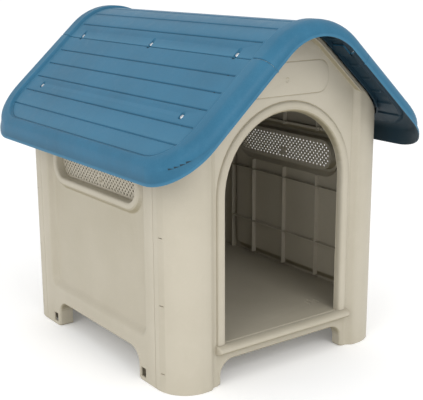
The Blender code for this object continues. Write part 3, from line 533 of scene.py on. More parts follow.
# The plastic is injected at a small raised disc in the grille, round which the cells are plain.
gate_edge = rounded_box(half_u=0.0062, half_v=0.0062, radius=0.0061, middle=gate_place, steps=6)
GATE_DISC = ((-0.0036, -0.0020, -0.0012, -0.0004, 0), (0.0004, 0.0016, 0.0018, 0.0014, 0))
gate_disc = moulding([gate_edge], [], along_edges(gate_edge, GATE_DISC),
                     lambda points: np.interp(away(points, gate_edge), *GATE_DISC) - GRILLE_DEPTH,
                     lambda points: np.full(len(points), -GRILLE_DEPTH - 0.001))

# Stiffening ribs in rows, each narrower towards its free edge so that it leaves the mould.
rib_row = bpy.data.node_groups.new("row of ribs", 'GeometryNodeTree')
given, result = sockets(rib_row, [("Count", 'Int'), ("Pitch", 'Float'), ("Length", 'Float'),
                                  ("Depth", 'Float'), ("Width", 'Float')])
here = add_node(rib_row, 'GeometryNodeInputPosition').outputs[0]
spot = add_node(rib_row, 'ShaderNodeSeparateXYZ', None, {0: here}).outputs
rib = worked_out(rib_row, {
    "gaps": ('SUBTRACT', given["Count"], 1),
    "half back": ('MULTIPLY', given["Pitch"], -0.5),
    "start": ('MULTIPLY', "gaps", "half back"),
    "free": ('GREATER_THAN', 0, spot["Z"]),
    "draft": ('MULTIPLY_ADD', "free", -0.35, 1),
    "narrow": ('MULTIPLY', spot["X"], "draft"),
    "sunk": ('MULTIPLY_ADD', given["Depth"], -0.5, spot["Z"])})
start, step, size, drafted = (
    add_node(rib_row, 'ShaderNodeCombineXYZ', None, dict(zip("XYZ", along))).outputs[0] for along in (
        [rib["start"]], [given["Pitch"]], [given["Width"], given["Length"], given["Depth"]],
        [rib["narrow"], spot["Y"], rib["sunk"]]))
line = add_node(rib_row, 'GeometryNodeMeshLine', None,
                {"Count": given["Count"], "Start Location": start, "Offset": step}).outputs[0]
bar = add_node(rib_row, 'GeometryNodeMeshCube', None, {"Size": size}).outputs["Mesh"]
bar = add_node(rib_row, 'GeometryNodeSetPosition', None, {"Geometry": bar, "Position": drafted}).outputs[0]
row = add_node(rib_row, 'GeometryNodeInstanceOnPoints', None, {"Points": line, "Instance": bar})
close_tree(rib_row, given, result, row.outputs[0])

RIB_PITCH, RIB_WIDTH, RIB_DEPTH = 0.107, 0.0028, 0.0095
LEVEL_RIBS = (0.164, 0.288, 0.415)
# Behind each post stands one deeper upright rib. The field's upright ribs leave the vent free.
POST_RIB_AT, POST_RIB_MIDDLE, POST_RIB_LENGTH, POST_RIB_DEPTH = 0.196, 0.26, 0.36, 0.012
VENT_FREE_FROM, VENT_FREE_TO = 0.3120, 0.4085


def ribs(count, length, middle, turned=False, depth=RIB_DEPTH, pitch=RIB_PITCH,
         back=SIDE_RECESS + WALL):
    """A row of ribs on the back of a flat drawing: upright ones, or level ones if turned."""
    row = grown_by(rib_row, bpy.data.meshes.new("row"), beige, Count=count, Pitch=pitch,
                   Length=length, Depth=depth + WALL / 2, Width=RIB_WIDTH)
    turn = Matrix.Rotation(pi / 2, 4, 'Z') if turned else Matrix.Identity(4)
    row.transform(Matrix.Translation((*middle, WALL / 2 - back)) @ turn)
    return row


side_ribs = [ribs(3, VENT_FREE_FROM - FIELD_FLOOR, (0, (VENT_FREE_FROM + FIELD_FLOOR) / 2)),
             ribs(3, SIDE_TOP - VENT_FREE_TO, (0, (SIDE_TOP + VENT_FREE_TO) / 2)),
             *(ribs(1, 2 * SIDE_FIELD, (0, v), True) for v in LEVEL_RIBS),
             ribs(2, POST_RIB_LENGTH, (0, POST_RIB_MIDDLE), pitch=2 * POST_RIB_AT, back=WALL,
                  depth=POST_RIB_DEPTH)]

for name, turn in (("side_panel_left", -pi / 2), ("side_panel_right", pi / 2)):
    parts = [mesh.copy() for mesh in [side_sheet, grille, gate_disc] + side_ribs]
    for part in parts:
        part.transform(stand(turn, SIDE_OUT))
    finish_piece(name + "_moulding", parts, beige, "beige_plastic", name)


# ---- End panels ------------------------------------------------------------------------------
# Each end wall is one moulding of the same beige polypropylene. It turns round both corners to meet
# the side panels, whose hooks and slots catch its slits and tongues. The front one has the doorway.

# A flat drawing is bent round its two upright corners, or over the ridge, along arcs of one radius.
bend = bpy.data.node_groups.new("bend a sheet round its corners", 'GeometryNodeTree')
given, result = sockets(bend, [("Straight", 'Float'), ("Radius", 'Float'), ("Turn", 'Float')])
here = add_node(bend, 'GeometryNodeInputPosition').outputs[0]
spot = add_node(bend, 'ShaderNodeSeparateXYZ', None, {0: here}).outputs
arc = worked_out(bend, {
    "run": ('ABSOLUTE', spot["X"]),
    "beyond": ('SUBTRACT', "run", given["Straight"]),
    "past": ('MAXIMUM', "beyond", 0),
    "angle": ('DIVIDE', "past", given["Radius"]),
    "turn": ('MINIMUM', "angle", given["Turn"]),
    "sine": ('SINE', "turn"),
    "cosine": ('COSINE', "turn"),
    "used": ('MULTIPLY', "turn", given["Radius"]),
    "after": ('SUBTRACT', "past", "used"),
    "reach": ('ADD', given["Radius"], spot["Z"]),
    "before": ('MINIMUM', "run", given["Straight"]),
    "out after": ('MULTIPLY', "after", "cosine"),
    "out round": ('MULTIPLY_ADD', "reach", "sine", "out after"),
    "out": ('ADD', "before", "out round"),
    "side": ('SIGN', spot["X"]),
    "across": ('MULTIPLY', "out", "side"),
    "down to middle": ('MULTIPLY', given["Radius"], -1),
    "up round": ('MULTIPLY_ADD', "reach", "cosine", "down to middle"),
    "down after": ('MULTIPLY', "after", "sine"),
    "up": ('SUBTRACT', "up round", "down after")})
bent = add_node(bend, 'ShaderNodeCombineXYZ', None, {"X": arc["across"], "Y": spot["Y"], "Z": arc["up"]})
moved = add_node(bend, 'GeometryNodeSetPosition', None,
                 {"Geometry": given["Shape"], "Position": bent.outputs[0]})
close_tree(bend, given, result, moved.outputs[0])

END_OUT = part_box("rear_panel")[1].y
CORNER = 0.062
END_STRAIGHT = SIDE_OUT - CORNER
CORNER_END = END_STRAIGHT + CORNER * pi / 2
SEAM_GAP = 0.0004
END_REACH = CORNER_END + (END_OUT - CORNER - SIDE_SEAM - SEAM_GAP)
RIDGE_TOP, PITCH, RIDGE_RADIUS = 0.655, radians(41.9), 0.1312
ROOF_TO_WALL = 0.0070
END_FIELD, END_RECESS, GABLE_BAND = 0.172, 0.008, 0.013


def roof_height(x, below):
    """Height over a place x of a line a little below the roof's skin and parallel to it."""
    radius = RIDGE_RADIUS - below
    bend_end = radius * sin(PITCH)
    x = np.abs(x)
    dome = np.sqrt(radius ** 2 - np.minimum(x, bend_end) ** 2)
    return RIDGE_TOP - RIDGE_RADIUS + dome - np.maximum(x - bend_end, 0) * tan(PITCH)


def wall_place(u):
    """Where a place along the flat drawing of an end panel comes to lie across the kennel."""
    u = np.abs(u)
    turned = np.clip((u - END_STRAIGHT) / CORNER, 0, pi / 2)
    return np.minimum(u, END_STRAIGHT) + CORNER * np.sin(turned)


DOME_REACH = 0.09
top_steps = np.concatenate([np.linspace(0, DOME_REACH, 12), np.linspace(END_STRAIGHT, CORNER_END, 10),
                            [END_REACH]])
top_edge = [(u, roof_height(wall_place(u), ROOF_TO_WALL)) for u in top_steps]
end_outline = np.array([(-END_REACH, 0), (END_REACH, 0), *top_edge[::-1],
                        *((-u, v) for u, v in top_edge[1:])])
end_arch = arch_between_feet(half=0.149, top=0.046, fillet=0.028, flare=0.004)

POST_STEP = soft_step(-0.009, 0.007, -END_RECESS, 0, 8)
POST_STEP_BACK = soft_step(-0.006, 0.010, -END_RECESS, 0, 8)
GABLE_STEP = ((-0.0042, -0.0026, -0.0012, 0.0, 0.0012, 0.0024, 0.0036),
              (-END_RECESS, -0.0074, -0.0030, 0.0002, 0.0006, -0.0004, -0.0006))
SHOULDER = ((0, 0.002, 0.005, 0.009), (-0.0065, -0.0036, -0.0012, 0))
# Its upper edge turns in a little, where the roof screws down.
FLANGE = ((0, 0.006), (0.004, 0))

DOOR_HALF, DOOR_TOP, SILL_TOP = 0.139, 0.4915, 0.0797
RIM_FROM = SILL_TOP + 0.0002


def arched(half, bottom, steps=28):
    """The doorway's outline, from a level up and over its round head."""
    turns = [pi * i / steps for i in range(steps + 1)]
    spring = DOOR_TOP - DOOR_HALF
    head = [(half * cos(t), spring + half * sin(t)) for t in turns]
    return np.array([(half, bottom), *head, (-half, bottom)])


DOOR_CUT_FROM, OVER_WALL = -0.05, 0.70
doorway, door_edge = arched(DOOR_HALF, SILL_TOP), arched(DOOR_HALF, DOOR_CUT_FROM)
# A round rim frames the doorway, down to the rounded bar of the sill.
RIM = ((0, 0.0005, 0.0009, 0.0015, 0.0028, 0.0052, 0.0090, 0.0134, 0.0166, 0.0185, 0.0195, 0.0203, 0.0214),
       (-0.0108, -0.0103, -0.0036, -0.0008, 0.0016, 0.0034, 0.0043, 0.0042, 0.0034, 0.0018, -0.0006,
        -0.0008, 0))
RIM_BACK = ((0, 0.0028, 0.0034, 0.0052, 0.0150, 0.0175), (-0.0079, -0.0078, -0.0006, 0.0010, 0.0010, 0))
SILL_BOTTOM, SILL_HALF, SILL_NOSE = 0.0625, 0.162, 0.016
SILL_ROUND = 0.0086
# A plain pad is outlined on the gable, round the mark of the point where the plastic was injected.
PAD_EDGE = ((-0.0012, -0.0004, 0.0004, 0.0012), (0, -0.0008, -0.0008, 0))
GATE_MARK = ((-0.0020, -0.0008, 0.0006), (-0.0012, -0.0009, 0))
pad_edge = rounded_box(half_u=0.100, half_v=0.030, radius=0.024, middle=(0, 0.551))
gate_mark = rounded_box(half_u=0.0046, half_v=0.0046, radius=0.0045, middle=(0, 0.549), steps=4)
# The side panels' hooks catch in three level slits beside each seam.
SLIT = ((-0.0004, 0, 0.0008, 0.0024), (-0.0022, 0, 0, 0))
SLIT_HALF, SLIT_HALF_HEIGHT, SLIT_CORNER = 0.0050, 0.0010, 0.0006
SLIT_AT, SLIT_HEIGHTS = END_REACH - 0.0208, (0.035, 0.165, 0.290)
slits = [rounded_box(SLIT_HALF, SLIT_HALF_HEIGHT, SLIT_CORNER, (side * SLIT_AT, v), 2)
         for side in (-1, 1) for v in SLIT_HEIGHTS]


def gable_step(u, v):
    """Height of the raised band that follows the roof, and the bead along its lower edge."""
    return np.interp((v - roof_height(wall_place(u), ROOF_TO_WALL + GABLE_BAND)) * cos(PITCH), *GABLE_STEP)


def under_roof(u, v):
    """Distance of places on an end panel from its upper edge, square to the slope."""
    return (roof_height(wall_place(u), ROOF_TO_WALL) - v) * cos(PITCH)


def end_front(points, doorway_too):
    """Height of an end panel's outside over its drawing, with or without the doorway's rim and sill."""
    u, v = np.abs(points[:, 0]), points[:, 1]
    rise = np.maximum(np.interp(u - END_FIELD, *POST_STEP), gable_step(u, v))
    rise = rise + np.interp(under_roof(u, v), *SHOULDER)
    rise = rise + np.interp(away(points, end_arch), *ARCH_CORNER) + np.interp(END_REACH - u, *EDGE_CORNER)
    for slit in slits:
        rise = rise + np.interp(away(points, slit), *SLIT)
    if doorway_too:
        rim = np.interp(away(points, door_edge), *RIM)
        across = (v - SILL_BOTTOM - SILL_ROUND) / SILL_ROUND
        ends = np.clip((u - SILL_HALF + SILL_ROUND / 2) / (SILL_ROUND / 2), 0, 1)
        sill = SILL_NOSE * np.sqrt(np.clip(1 - across ** 2, 0, 1) * (1 - ends ** 2))
        rise = rise + np.where(v > RIM_FROM, rim, np.where(u <= SILL_HALF, sill, 0))
        rise = rise + np.interp(away(points, pad_edge), *PAD_EDGE)
        rise = rise + np.interp(away(points, gate_mark), *GATE_MARK)
    return rise


def end_back(points, doorway_too):
    """Height of an end panel's inside."""
    u, v = np.abs(points[:, 0]), points[:, 1]
    rise = np.maximum(np.interp(u - END_FIELD, *POST_STEP_BACK), gable_step(u, v)) - WALL
    if doorway_too:
        rise = rise + np.where(v > RIM_FROM, np.interp(away(points, door_edge), *RIM_BACK), 0)
    rise = rise - np.interp(under_roof(u, v), *FLANGE)
    return np.minimum(rise, np.interp(away(points, end_arch), *ARCH_FLANGE))


def across_drawing(v, half=END_REACH):
    """A level line across an end panel's drawing."""
    return np.array([(-half, v), (half, v)])


def under_roof_line(below, reach=END_REACH):
    """A line across an end panel's drawing, parallel to the roof."""
    steps = [u for u in top_steps if u < reach] + [reach]
    right = [(u, float(roof_height(wall_place(u), below))) for u in steps]
    whole = [(-u, v) for u, v in right[::-1]] + right[1:]
    return [np.array(whole[i:i + 2]) for i in range(len(whole) - 1)]


def end_lines(doorway_too):
    """The lines of an end panel's drawing along which its height changes."""
    uprights = [END_FIELD + d for d in np.concatenate([POST_STEP[0], POST_STEP_BACK[0]])]
    uprights += [END_REACH - d for d in EDGE_CORNER[0][1:]]
    uprights += list(np.linspace(END_STRAIGHT, CORNER_END, 19))
    lines = [np.array([(side * u, BELOW), (side * u, OVER_WALL)]) for side in (-1, 1) for u in uprights]
    for d in GABLE_STEP[0]:
        lines += under_roof_line(ROOF_TO_WALL + GABLE_BAND - d, END_FIELD + 0.008)
    for d in SHOULDER[0][1:] + FLANGE[0][1:]:
        lines += under_roof_line(ROOF_TO_WALL + d)
    lines += along_edges(end_arch, ARCH_CORNER, ARCH_FLANGE)
    for slit in slits:
        lines += along_edges(slit, SLIT)
    if doorway_too:
        lines += along_edges(door_edge, RIM, RIM_BACK)
        lines += along_edges(pad_edge, PAD_EDGE) + along_edges(gate_mark, GATE_MARK)
        for i in range(14):
            lines.append(across_drawing(SILL_BOTTOM + SILL_ROUND * (1 - cos(pi * i / 14)), SILL_HALF))
        lines += [across_drawing(v, 0.166) for v in (SILL_TOP, RIM_FROM + 0.0002)]
        for side in (-1, 1):
            for i in range(5):
                end = side * (SILL_HALF - SILL_ROUND / 2 * (1 - sin(pi / 2 * i / 4)))
                lines.append(np.array([(end, SILL_BOTTOM - 0.0004), (end, RIM_FROM + 0.0002)]))
    return lines


def rounded_block(low, high, radius=0.0006):
    """A small moulded block with soft edges."""
    block = bmesh.new()
    bmesh.ops.create_cube(block, size=1)
    bmesh.ops.scale(block, vec=Vector(high) - Vector(low), verts=block.verts)
    bmesh.ops.translate(block, vec=(Vector(high) + Vector(low)) / 2, verts=block.verts)
    bmesh.ops.bevel(block, geom=block.edges[:], offset=radius, segments=2, affect='EDGES', profile=0.5)
    return plain_mesh("block", block)


# Two opposite corners of a front tongue and of its lug: depth behind the side panel's face, place
# along the kennel, and height.
TONGUE = ((0.0150, -0.230, 0.004), (0.0120, -0.1650, 0.0268))
LUG = ((0.0122, -SLOT_AT - 0.0068, SLOT_BOTTOM + 0.001), (0.0095, -SLOT_AT + 0.0012, SLOT_TOP - 0.001))


def tongues():
    """The two snap tongues of an end panel at the front, each with a lug behind a side panel's slot."""
    made = []
    for side in (-1, 1):
        for low, high in (TONGUE, LUG):
            xs = sorted(side * (SIDE_OUT - depth) for depth in (low[0], high[0]))
            made.append(rounded_block((xs[0], *low[1:]), (xs[1], *high[1:])))
    return made


REAR_RIB_LENGTH, REAR_RIB_MIDDLE = 0.42, 0.30
for name, turn, doorway_too in (("front_panel", 0, True), ("rear_panel", pi, False)):
    holes = [end_arch] + ([doorway] if doorway_too else [])
    sheet = moulding([end_outline], holes, end_lines(doorway_too),
                     lambda points: end_front(points, doorway_too),
                     lambda points: end_back(points, doorway_too))
    wall = grown_by(bend, sheet, beige, Straight=END_STRAIGHT, Radius=CORNER, Turn=pi / 2)
    wall.transform(stand(turn, END_OUT))
    snaps = tongues()
    for snap in snaps:
        snap.transform(Matrix.Rotation(turn, 4, 'Z'))
    rear_ribs = []
    if not doorway_too:
        rear_ribs = [ribs(3, REAR_RIB_LENGTH, (0, REAR_RIB_MIDDLE), back=END_RECESS + WALL)]
        rear_ribs += [ribs(1, 2 * END_FIELD, (0, v), True, back=END_RECESS + WALL) for v in LEVEL_RIBS]
        for row in rear_ribs:
            row.transform(stand(turn, END_OUT))
    finish_piece(name + "_moulding", [wall] + snaps + rear_ribs, beige, "beige_plastic", name)


# ---- Floor tray ------------------------------------------------------------------------------
# The floor is a shallow beige tray with a turned-down edge and a grid of ribs below. It drops in
# from above and rests on the flanges over the wall panels' arches.

floor_low, floor_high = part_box("floor_tray")
TRAY_EDGE = ((-0.0045, -0.0025, -0.0010, -0.0003, 0), (0, -0.0003, -0.0011, -0.0020, -0.0032))
TRAY_SKIRT = ((-0.0036, -0.0030), (-WALL, floor_low.z - floor_high.z))
tray_edge = rounded_box(floor_high.x, floor_high.y, CORNER, (0, 0), 12)
drain_marks = [rounded_box(half_u=0.0020, half_v=0.0085, radius=0.0019, middle=middle, steps=4)
               for middle in ((0.118, -0.212), (0.130, -0.206), (0.142, -0.212))]
MARK = ((-0.0009, 0), (-0.0012, 0))


def tray_top(points):
    """Height of the floor: its rounded edge and the drain marks."""
    rise = np.interp(away(points, tray_edge), *TRAY_EDGE)
    return rise + sum(np.interp(away(points, mark), *MARK) for mark in drain_marks)


def tray_back(points):
    """Height of the floor's underside and of the skirt round it."""
    return np.interp(away(points, tray_edge), *TRAY_SKIRT)


tray_lines = along_edges(tray_edge, TRAY_EDGE, TRAY_SKIRT)
for drain_mark in drain_marks:
    tray_lines += along_edges(drain_mark, MARK)
tray = moulding([tray_edge], [], tray_lines, tray_top, tray_back)
RIB_SHORTER, TRAY_RIB_PITCH, TRAY_RIB_DEPTH = 0.012, 0.1, 0.0135
tray_ribs = [ribs(5, 2 * reach - RIB_SHORTER, (0, 0), across, pitch=TRAY_RIB_PITCH, depth=TRAY_RIB_DEPTH,
                  back=WALL)
             for reach, across in ((floor_high.y, False), (floor_high.x, True))]
for part in [tray] + tray_ribs:
    part.transform(Matrix.Translation((0, 0, floor_high.z)))
finish_piece("floor_tray_moulding", [tray] + tray_ribs, beige, "beige_plastic", "floor_tray")


# ---- Roof ------------------------------------------------------------------------------------
# The roof is three blue polypropylene mouldings: a cap bent over the ridge and two eave panels that
# lap under it. Shallow grooves make it look boarded, and a raised border rolls down to a lip.

blue = moulded_plastic("moulded blue polypropylene", "#286482", "#4c809b", "#1a2d38", 0.46, 0.25)

ROOF_HALF_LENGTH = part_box("roof_ridge_cap")[1].y
ROOF_HALF_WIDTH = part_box("roof_eave_right")[1].x
ROOF_WALL, BORDER_RISE, BORDER_WIDTH = 0.003, 0.005, 0.048
GABLE_ROLL, EAVE_ROLL, LIP_DEPTH, EAVE_CORNER = 0.022, 0.025, 0.028, 0.100
GABLE_ROLL_IN = 0.025
BOARD, RIDGE_BOARD = 0.039, 0.0328
SEAM_RUN = RIDGE_BOARD / 2 + 3 * BOARD
GROOVE_END = 0.311
RIDGE_RUN = RIDGE_RADIUS * PITCH

eave_turn = pi / 2 - PITCH
edge_run = RIDGE_RUN + (ROOF_HALF_WIDTH - (RIDGE_RADIUS + BORDER_RISE) * sin(PITCH)) / cos(PITCH)
roll_start = edge_run - EAVE_ROLL * tan(eave_turn / 2)
roll_end = (roll_start + EAVE_ROLL * sin(eave_turn), BORDER_RISE - EAVE_ROLL * (1 - cos(eave_turn)))
lip_low = BORDER_RISE - LIP_DEPTH
# From the lip's lower edge in to the boards: distance from the gable edge and height there, then
# distance down the slope and height at the eave. The lip has a fine ledge 5 mm above its edge.
LEDGE, LEDGE_OUT = 0.005, 0.0006
rings = [(0, lip_low, roll_end[0] + (roll_end[1] - lip_low) * tan(PITCH), lip_low)]
for up, inset in ((LEDGE - 0.0004, 0.0002), (LEDGE + 0.0004, 0.0002 + LEDGE_OUT)):
    level = lip_low + up * cos(PITCH)
    rings.append((inset, lip_low + up, roll_end[0] + (roll_end[1] - level) * tan(PITCH) - inset, level))
for i in range(9):
    gable, eave = pi / 2 * i / 8, eave_turn * (1 - i / 8)
    rings.append((0.0009 + GABLE_ROLL_IN * (1 - cos(gable)), BORDER_RISE - GABLE_ROLL * (1 - sin(gable)),
                  roll_start + EAVE_ROLL * sin(eave) - 0.0008 * (1 - i / 8),
                  BORDER_RISE - EAVE_ROLL * (1 - cos(eave))))
for share, level in ((0, 1), (0.2, 0.94), (0.5, 0.5), (0.8, 0.06), (1, 0)):
    rings.append((BORDER_WIDTH - 0.005 * (1 - share), BORDER_RISE * level,
                  roll_start - 0.001 - 0.005 * share, BORDER_RISE * level))
# A fine groove runs along the border's foot.
rings += [(BORDER_WIDTH + 0.0010, -0.0012, roll_start - 0.0070, -0.0012),
          (BORDER_WIDTH + 0.0028, 0, roll_start - 0.0088, 0)]
rings = np.array(rings)


def ring_parts(at):
    """Half sizes, corner radius and heights of the roof's edge at a place between the rings."""
    inset, gable, half_run, eave = (np.interp(at, range(len(rings)), rings[:, k]) for k in range(4))
    return half_run, ROOF_HALF_LENGTH - inset, EAVE_CORNER - inset / 2, gable, eave


def edge_height(points):
    """Height of the roof's rolled edge and border over its boards."""
    size = np.abs(points)
    outer, inner = np.zeros(len(points)), np.full(len(points), len(rings) - 1.0)
    for _ in range(24):
        at = (outer + inner) / 2
        half_run, half_length, radius, _, _ = ring_parts(at)
        q = size - np.stack((half_run - radius, half_length - radius), 1)
        gap = np.hypot(*np.maximum(q, 0).T) + np.minimum(q.max(1), 0) - radius
        outer, inner = np.where(gap > 0, outer, at), np.where(gap > 0, at, inner)
    _, _, radius, gable, eave = ring_parts(inner)
    share = np.where(q.min(1) > 0, np.arctan2(q[:, 1], q[:, 0]) / (pi / 2), q[:, 1] > q[:, 0])
    return eave + (gable - eave) * share


ring_loops = []
for at in range(len(rings)):
    half_run, half_length, radius, _, _ = ring_parts(at)
    ring_loops.append(rounded_box(half_run, half_length, radius, (0, 0), 14))

GROOVE = ((0, 0.0006, 0.0013, 0.0020, 0.0028), (-0.0024, -0.0022, -0.0012, -0.0003, 0))
SEAM_EDGE = ((0, 0.0006, 0.0014, 0.0024), (-0.0022, -0.0012, -0.0004, 0))


def from_line(points, run, half):
    """Distances from a straight line along the ridge, at a distance down the slope."""
    return np.hypot(points[:, 0] - run, np.maximum(np.abs(points[:, 1]) - half, 0))


def beside_line(run, half, profile):
    """Outlines round such a line, and the line itself."""
    return [rounded_box(d, half + d, d * 0.98, (run, 0), 4) for d in profile[0] if d] + [
        np.array([(run, -half), (run, half)])]


# The screws' places in the flat drawing, and the slot or oval that each sinks into.
SEAM_SCREWS = [(SEAM_RUN - 0.0075, y) for y in (-0.2715, 0.0, 0.2715)]
eave_screw_x = 0.2185
eave_screw_run = RIDGE_RUN + (eave_screw_x - RIDGE_RADIUS * sin(PITCH)) / cos(PITCH)
EAVE_SCREWS = [(eave_screw_run, y) for y in (-0.260, 0.260)]
SINK = ((-0.0012, -0.0004, 0.0004), (-1, -0.85, 0))
# The floor of a recess is level round the screw and slopes up to the recess's upper end.
LEVEL_TO, LEAST_DEPTH = 0.0045, 0.15


def sunk(screws, half_u, half_v, radius, depth, ramp):
    """The outline, place, depth and slope of the recess round each screw."""
    return [(rounded_box(half_u, half_v, radius, (run - 0.0015, y), 8), run, depth, ramp)
            for run, y in screws]


seam_sinks = sunk(SEAM_SCREWS, half_u=0.0135, half_v=0.0052, radius=0.0051, depth=0.0034, ramp=0.0105)
eave_sinks = sunk(EAVE_SCREWS, half_u=0.0085, half_v=0.0056, radius=0.0055, depth=0.0036, ramp=0.0060)


def roof_front(points, runs, sinks, seam_sign):
    """Height of a roof piece's skin: its edge, the grooves between boards, screw recesses and seams."""
    rise = edge_height(points)
    for run in runs:
        rise = rise + np.interp(from_line(points, run, GROOVE_END), *GROOVE)
    for loop, run, depth, ramp in sinks:
        slope = np.clip((np.abs(points[:, 0]) - (run - LEVEL_TO - ramp)) / ramp, LEAST_DEPTH, 1)
        rise = rise + np.interp(away(points, loop), *SINK) * depth * slope
    if seam_sign:
        side = np.sign(points[:, 0])
        rise = rise + np.interp(seam_sign * (points[:, 0] - SEAM_RUN * side) * side, *SEAM_EDGE)
    return rise


def roof_skin(low, high, runs, sinks, seam_sign):
    """One of the roof's three pieces as a flat drawing's front skin."""
    strip = np.array([(low, -0.5), (high, -0.5), (high, 0.5), (low, 0.5)])
    bends = [u for u in np.linspace(-RIDGE_RUN, RIDGE_RUN, 31) if low < u < high]
    seams = [side * (SEAM_RUN + seam_sign * d) for side in (-1, 1) for d in SEAM_EDGE[0][1:]]
    lines = ring_loops[1:] + [np.array([(u, -0.5), (u, 0.5)]) for u in bends + seams]
    for run in runs:
        lines += beside_line(run, GROOVE_END, GROOVE)
    for loop, *_ in sinks:
        lines += along_edges(loop, SINK)
    for loop, at, _, ramp in sinks:
        side, y = np.sign(loop[0, 0]), loop[:, 1].mean()
        for run in (at - LEVEL_TO, at - LEVEL_TO - ramp):
            lines.append(np.array([(side * run, y - LEVEL_TO), (side * run, y + LEVEL_TO)]))
    return moulding([ring_loops[0], strip], [], lines,
                    lambda points: roof_front(points, runs, sinks, seam_sign), None)


def bent_roof(flat, thick=True):
    """A flat drawing bent over the ridge, lifted to its height and given its wall."""
    shell = grown_by(bend, flat, blue, Straight=0.0, Radius=RIDGE_RADIUS, Turn=PITCH)
    shell.transform(Matrix.Translation((0, 0, RIDGE_TOP)))
    if thick:
        piece = hold("in_work", shell)
        wall = piece.modifiers.new("wall", 'SOLIDIFY')
        wall.thickness, wall.offset, wall.use_even_offset = ROOF_WALL, -1, False
        applied(piece)
        shell = piece.data
        bpy.data.objects.remove(piece)
    return shell


def flipped(sinks):
    """The same recesses on the other side of the ridge."""
    return [(np.array([(-u, v) for u, v in loop[::-1]]), run, depth, ramp)
            for loop, run, depth, ramp in sinks]


# Under the skin a locating rib follows the walls' outline, so that the roof can't slide on them.
RIB_DROP, RIB_CLEAR, RIB_WALL = 0.013, 0.006, 0.0022
rib_path = rounded_box(SIDE_OUT + RIB_CLEAR, END_OUT + RIB_CLEAR, CORNER + RIB_CLEAR, (0, 0), 12)
rib_path = np.concatenate([[a + (b - a) * i / 24 for i in range(24)] if np.linalg.norm(b - a) > 0.1 else [a]
                           for a, b in zip(rib_path, np.roll(rib_path, -1, 0))])


def locating_rib(low, high):
    """The stretch of the locating rib between two distances from the middle plane, on the +X side."""
    inner = grown(rib_path, -RIB_WALL)
    rib = bmesh.new()
    rows = []
    for outside, inside in zip(rib_path, inner):
        top = float(roof_height(outside[0], ROOF_WALL / 2))
        rows.append([rib.verts.new((x, y, z)) for (x, y), z in
                     ((outside, top), (outside, top - RIB_DROP), (inside, top - RIB_DROP), (inside, top))])
    for k, (one, two) in enumerate(zip(rows, rows[1:] + rows[:1])):
        if low <= (rib_path[k][0] + rib_path[(k + 1) % len(rows)][0]) / 2 <= high:
            for i in range(4):
                rib.faces.new((one[i], one[(i + 1) % 4], two[(i + 1) % 4], two[i]))
    bmesh.ops.delete(rib, geom=[v for v in rib.verts if not v.link_faces], context='VERTS')
    bmesh.ops.holes_fill(rib, edges=[e for e in rib.edges if e.is_boundary], sides=4)
    bmesh.ops.recalc_face_normals(rib, faces=rib.faces)
    return plain_mesh("locating_rib", rib)


HALF_GAP = 0.00015
cap_runs = [side * (RIDGE_BOARD / 2 + k * BOARD) for side in (-1, 1) for k in range(3)]
cap_sinks = seam_sinks + flipped(seam_sinks)
cap_skin = roof_skin(HALF_GAP - SEAM_RUN, SEAM_RUN - HALF_GAP, cap_runs, cap_sinks, -1)
cap = bent_roof(cap_skin)
finish_piece("roof_ridge_cap_moulding", [cap, locating_rib(-0.10, 0.10)], blue, "blue_plastic",
             "roof_ridge_cap", roof=True)

eave_runs = [SEAM_RUN + k * BOARD for k in range(1, 6)]
eave_skin = roof_skin(SEAM_RUN + HALF_GAP, 0.5, eave_runs, seam_sinks + eave_sinks, 1)
# An eave panel carries a strip that lies under the cap's edge, a step lower than its own skin.
lap_outline = rounded_box(half_u=0.0155, half_v=0.319, radius=0.002, middle=(SEAM_RUN - 0.0065, 0), steps=2)
lap_step = np.array([(SEAM_RUN + 0.0003, -0.4), (SEAM_RUN + 0.0003, 0.4)])
lap = moulding([lap_outline], [], [lap_step, lap_step + (0.0003, 0)],
               lambda p: np.where(p[:, 0] > SEAM_RUN + 0.0004, -0.0020, -ROOF_WALL - 0.0004),
               lambda p: np.full(len(p), -2 * ROOF_WALL - 0.0003))
eave_parts = [bent_roof(eave_skin), bent_roof(lap, False), locating_rib(0.105, 0.5)]
for name, turn in (("roof_eave_right", 0), ("roof_eave_left", pi)):
    parts = [mesh.copy() for mesh in eave_parts]
    for part in parts:
        part.transform(Matrix.Rotation(turn, 4, 'Z'))
    finish_piece(name + "_moulding", parts, blue, "blue_plastic", name, roof=True)


# ---- Screws ----------------------------------------------------------------------------------
# Ten zinc-plated self-tapping screws with domed heads and a cross recess hold the roof: three along
# each seam of the cap and two low on each slope. They are driven square into the skin.

# Bright zinc plating: pale, slightly blue metal with a fine turned finish.
zinc, tree, shader = new_material("bright zinc-plated steel")
place = add_node(tree, 'ShaderNodeTexCoord').outputs["Object"]
turned = add_node(tree, 'ShaderNodeTexNoise', None,
                  {"Vector": place, "Scale": 900.0, "Detail": 3.0}).outputs["Fac"]
shine = add_node(tree, 'ShaderNodeMapRange', None, {"Value": turned, "To Min": 0.22, "To Max": 0.42})
plate = add_node(tree, 'ShaderNodeMix', {"data_type": 'RGBA'},
                 {0: turned, 6: linear("#e3e6ea"), 7: linear("#c3c8cc")})
tree.links.new(shine.outputs["Result"], shader.inputs["Roughness"])
tree.links.new(plate.outputs[2], shader.inputs["Base Color"])
shader.inputs["Metallic"].default_value = 1.0

HEAD_RADIUS, HEAD_RISE, SHANK_RADIUS, SHANK_LENGTH = 0.0045, 0.0026, 0.0020, 0.018
SUNK = 0.0030


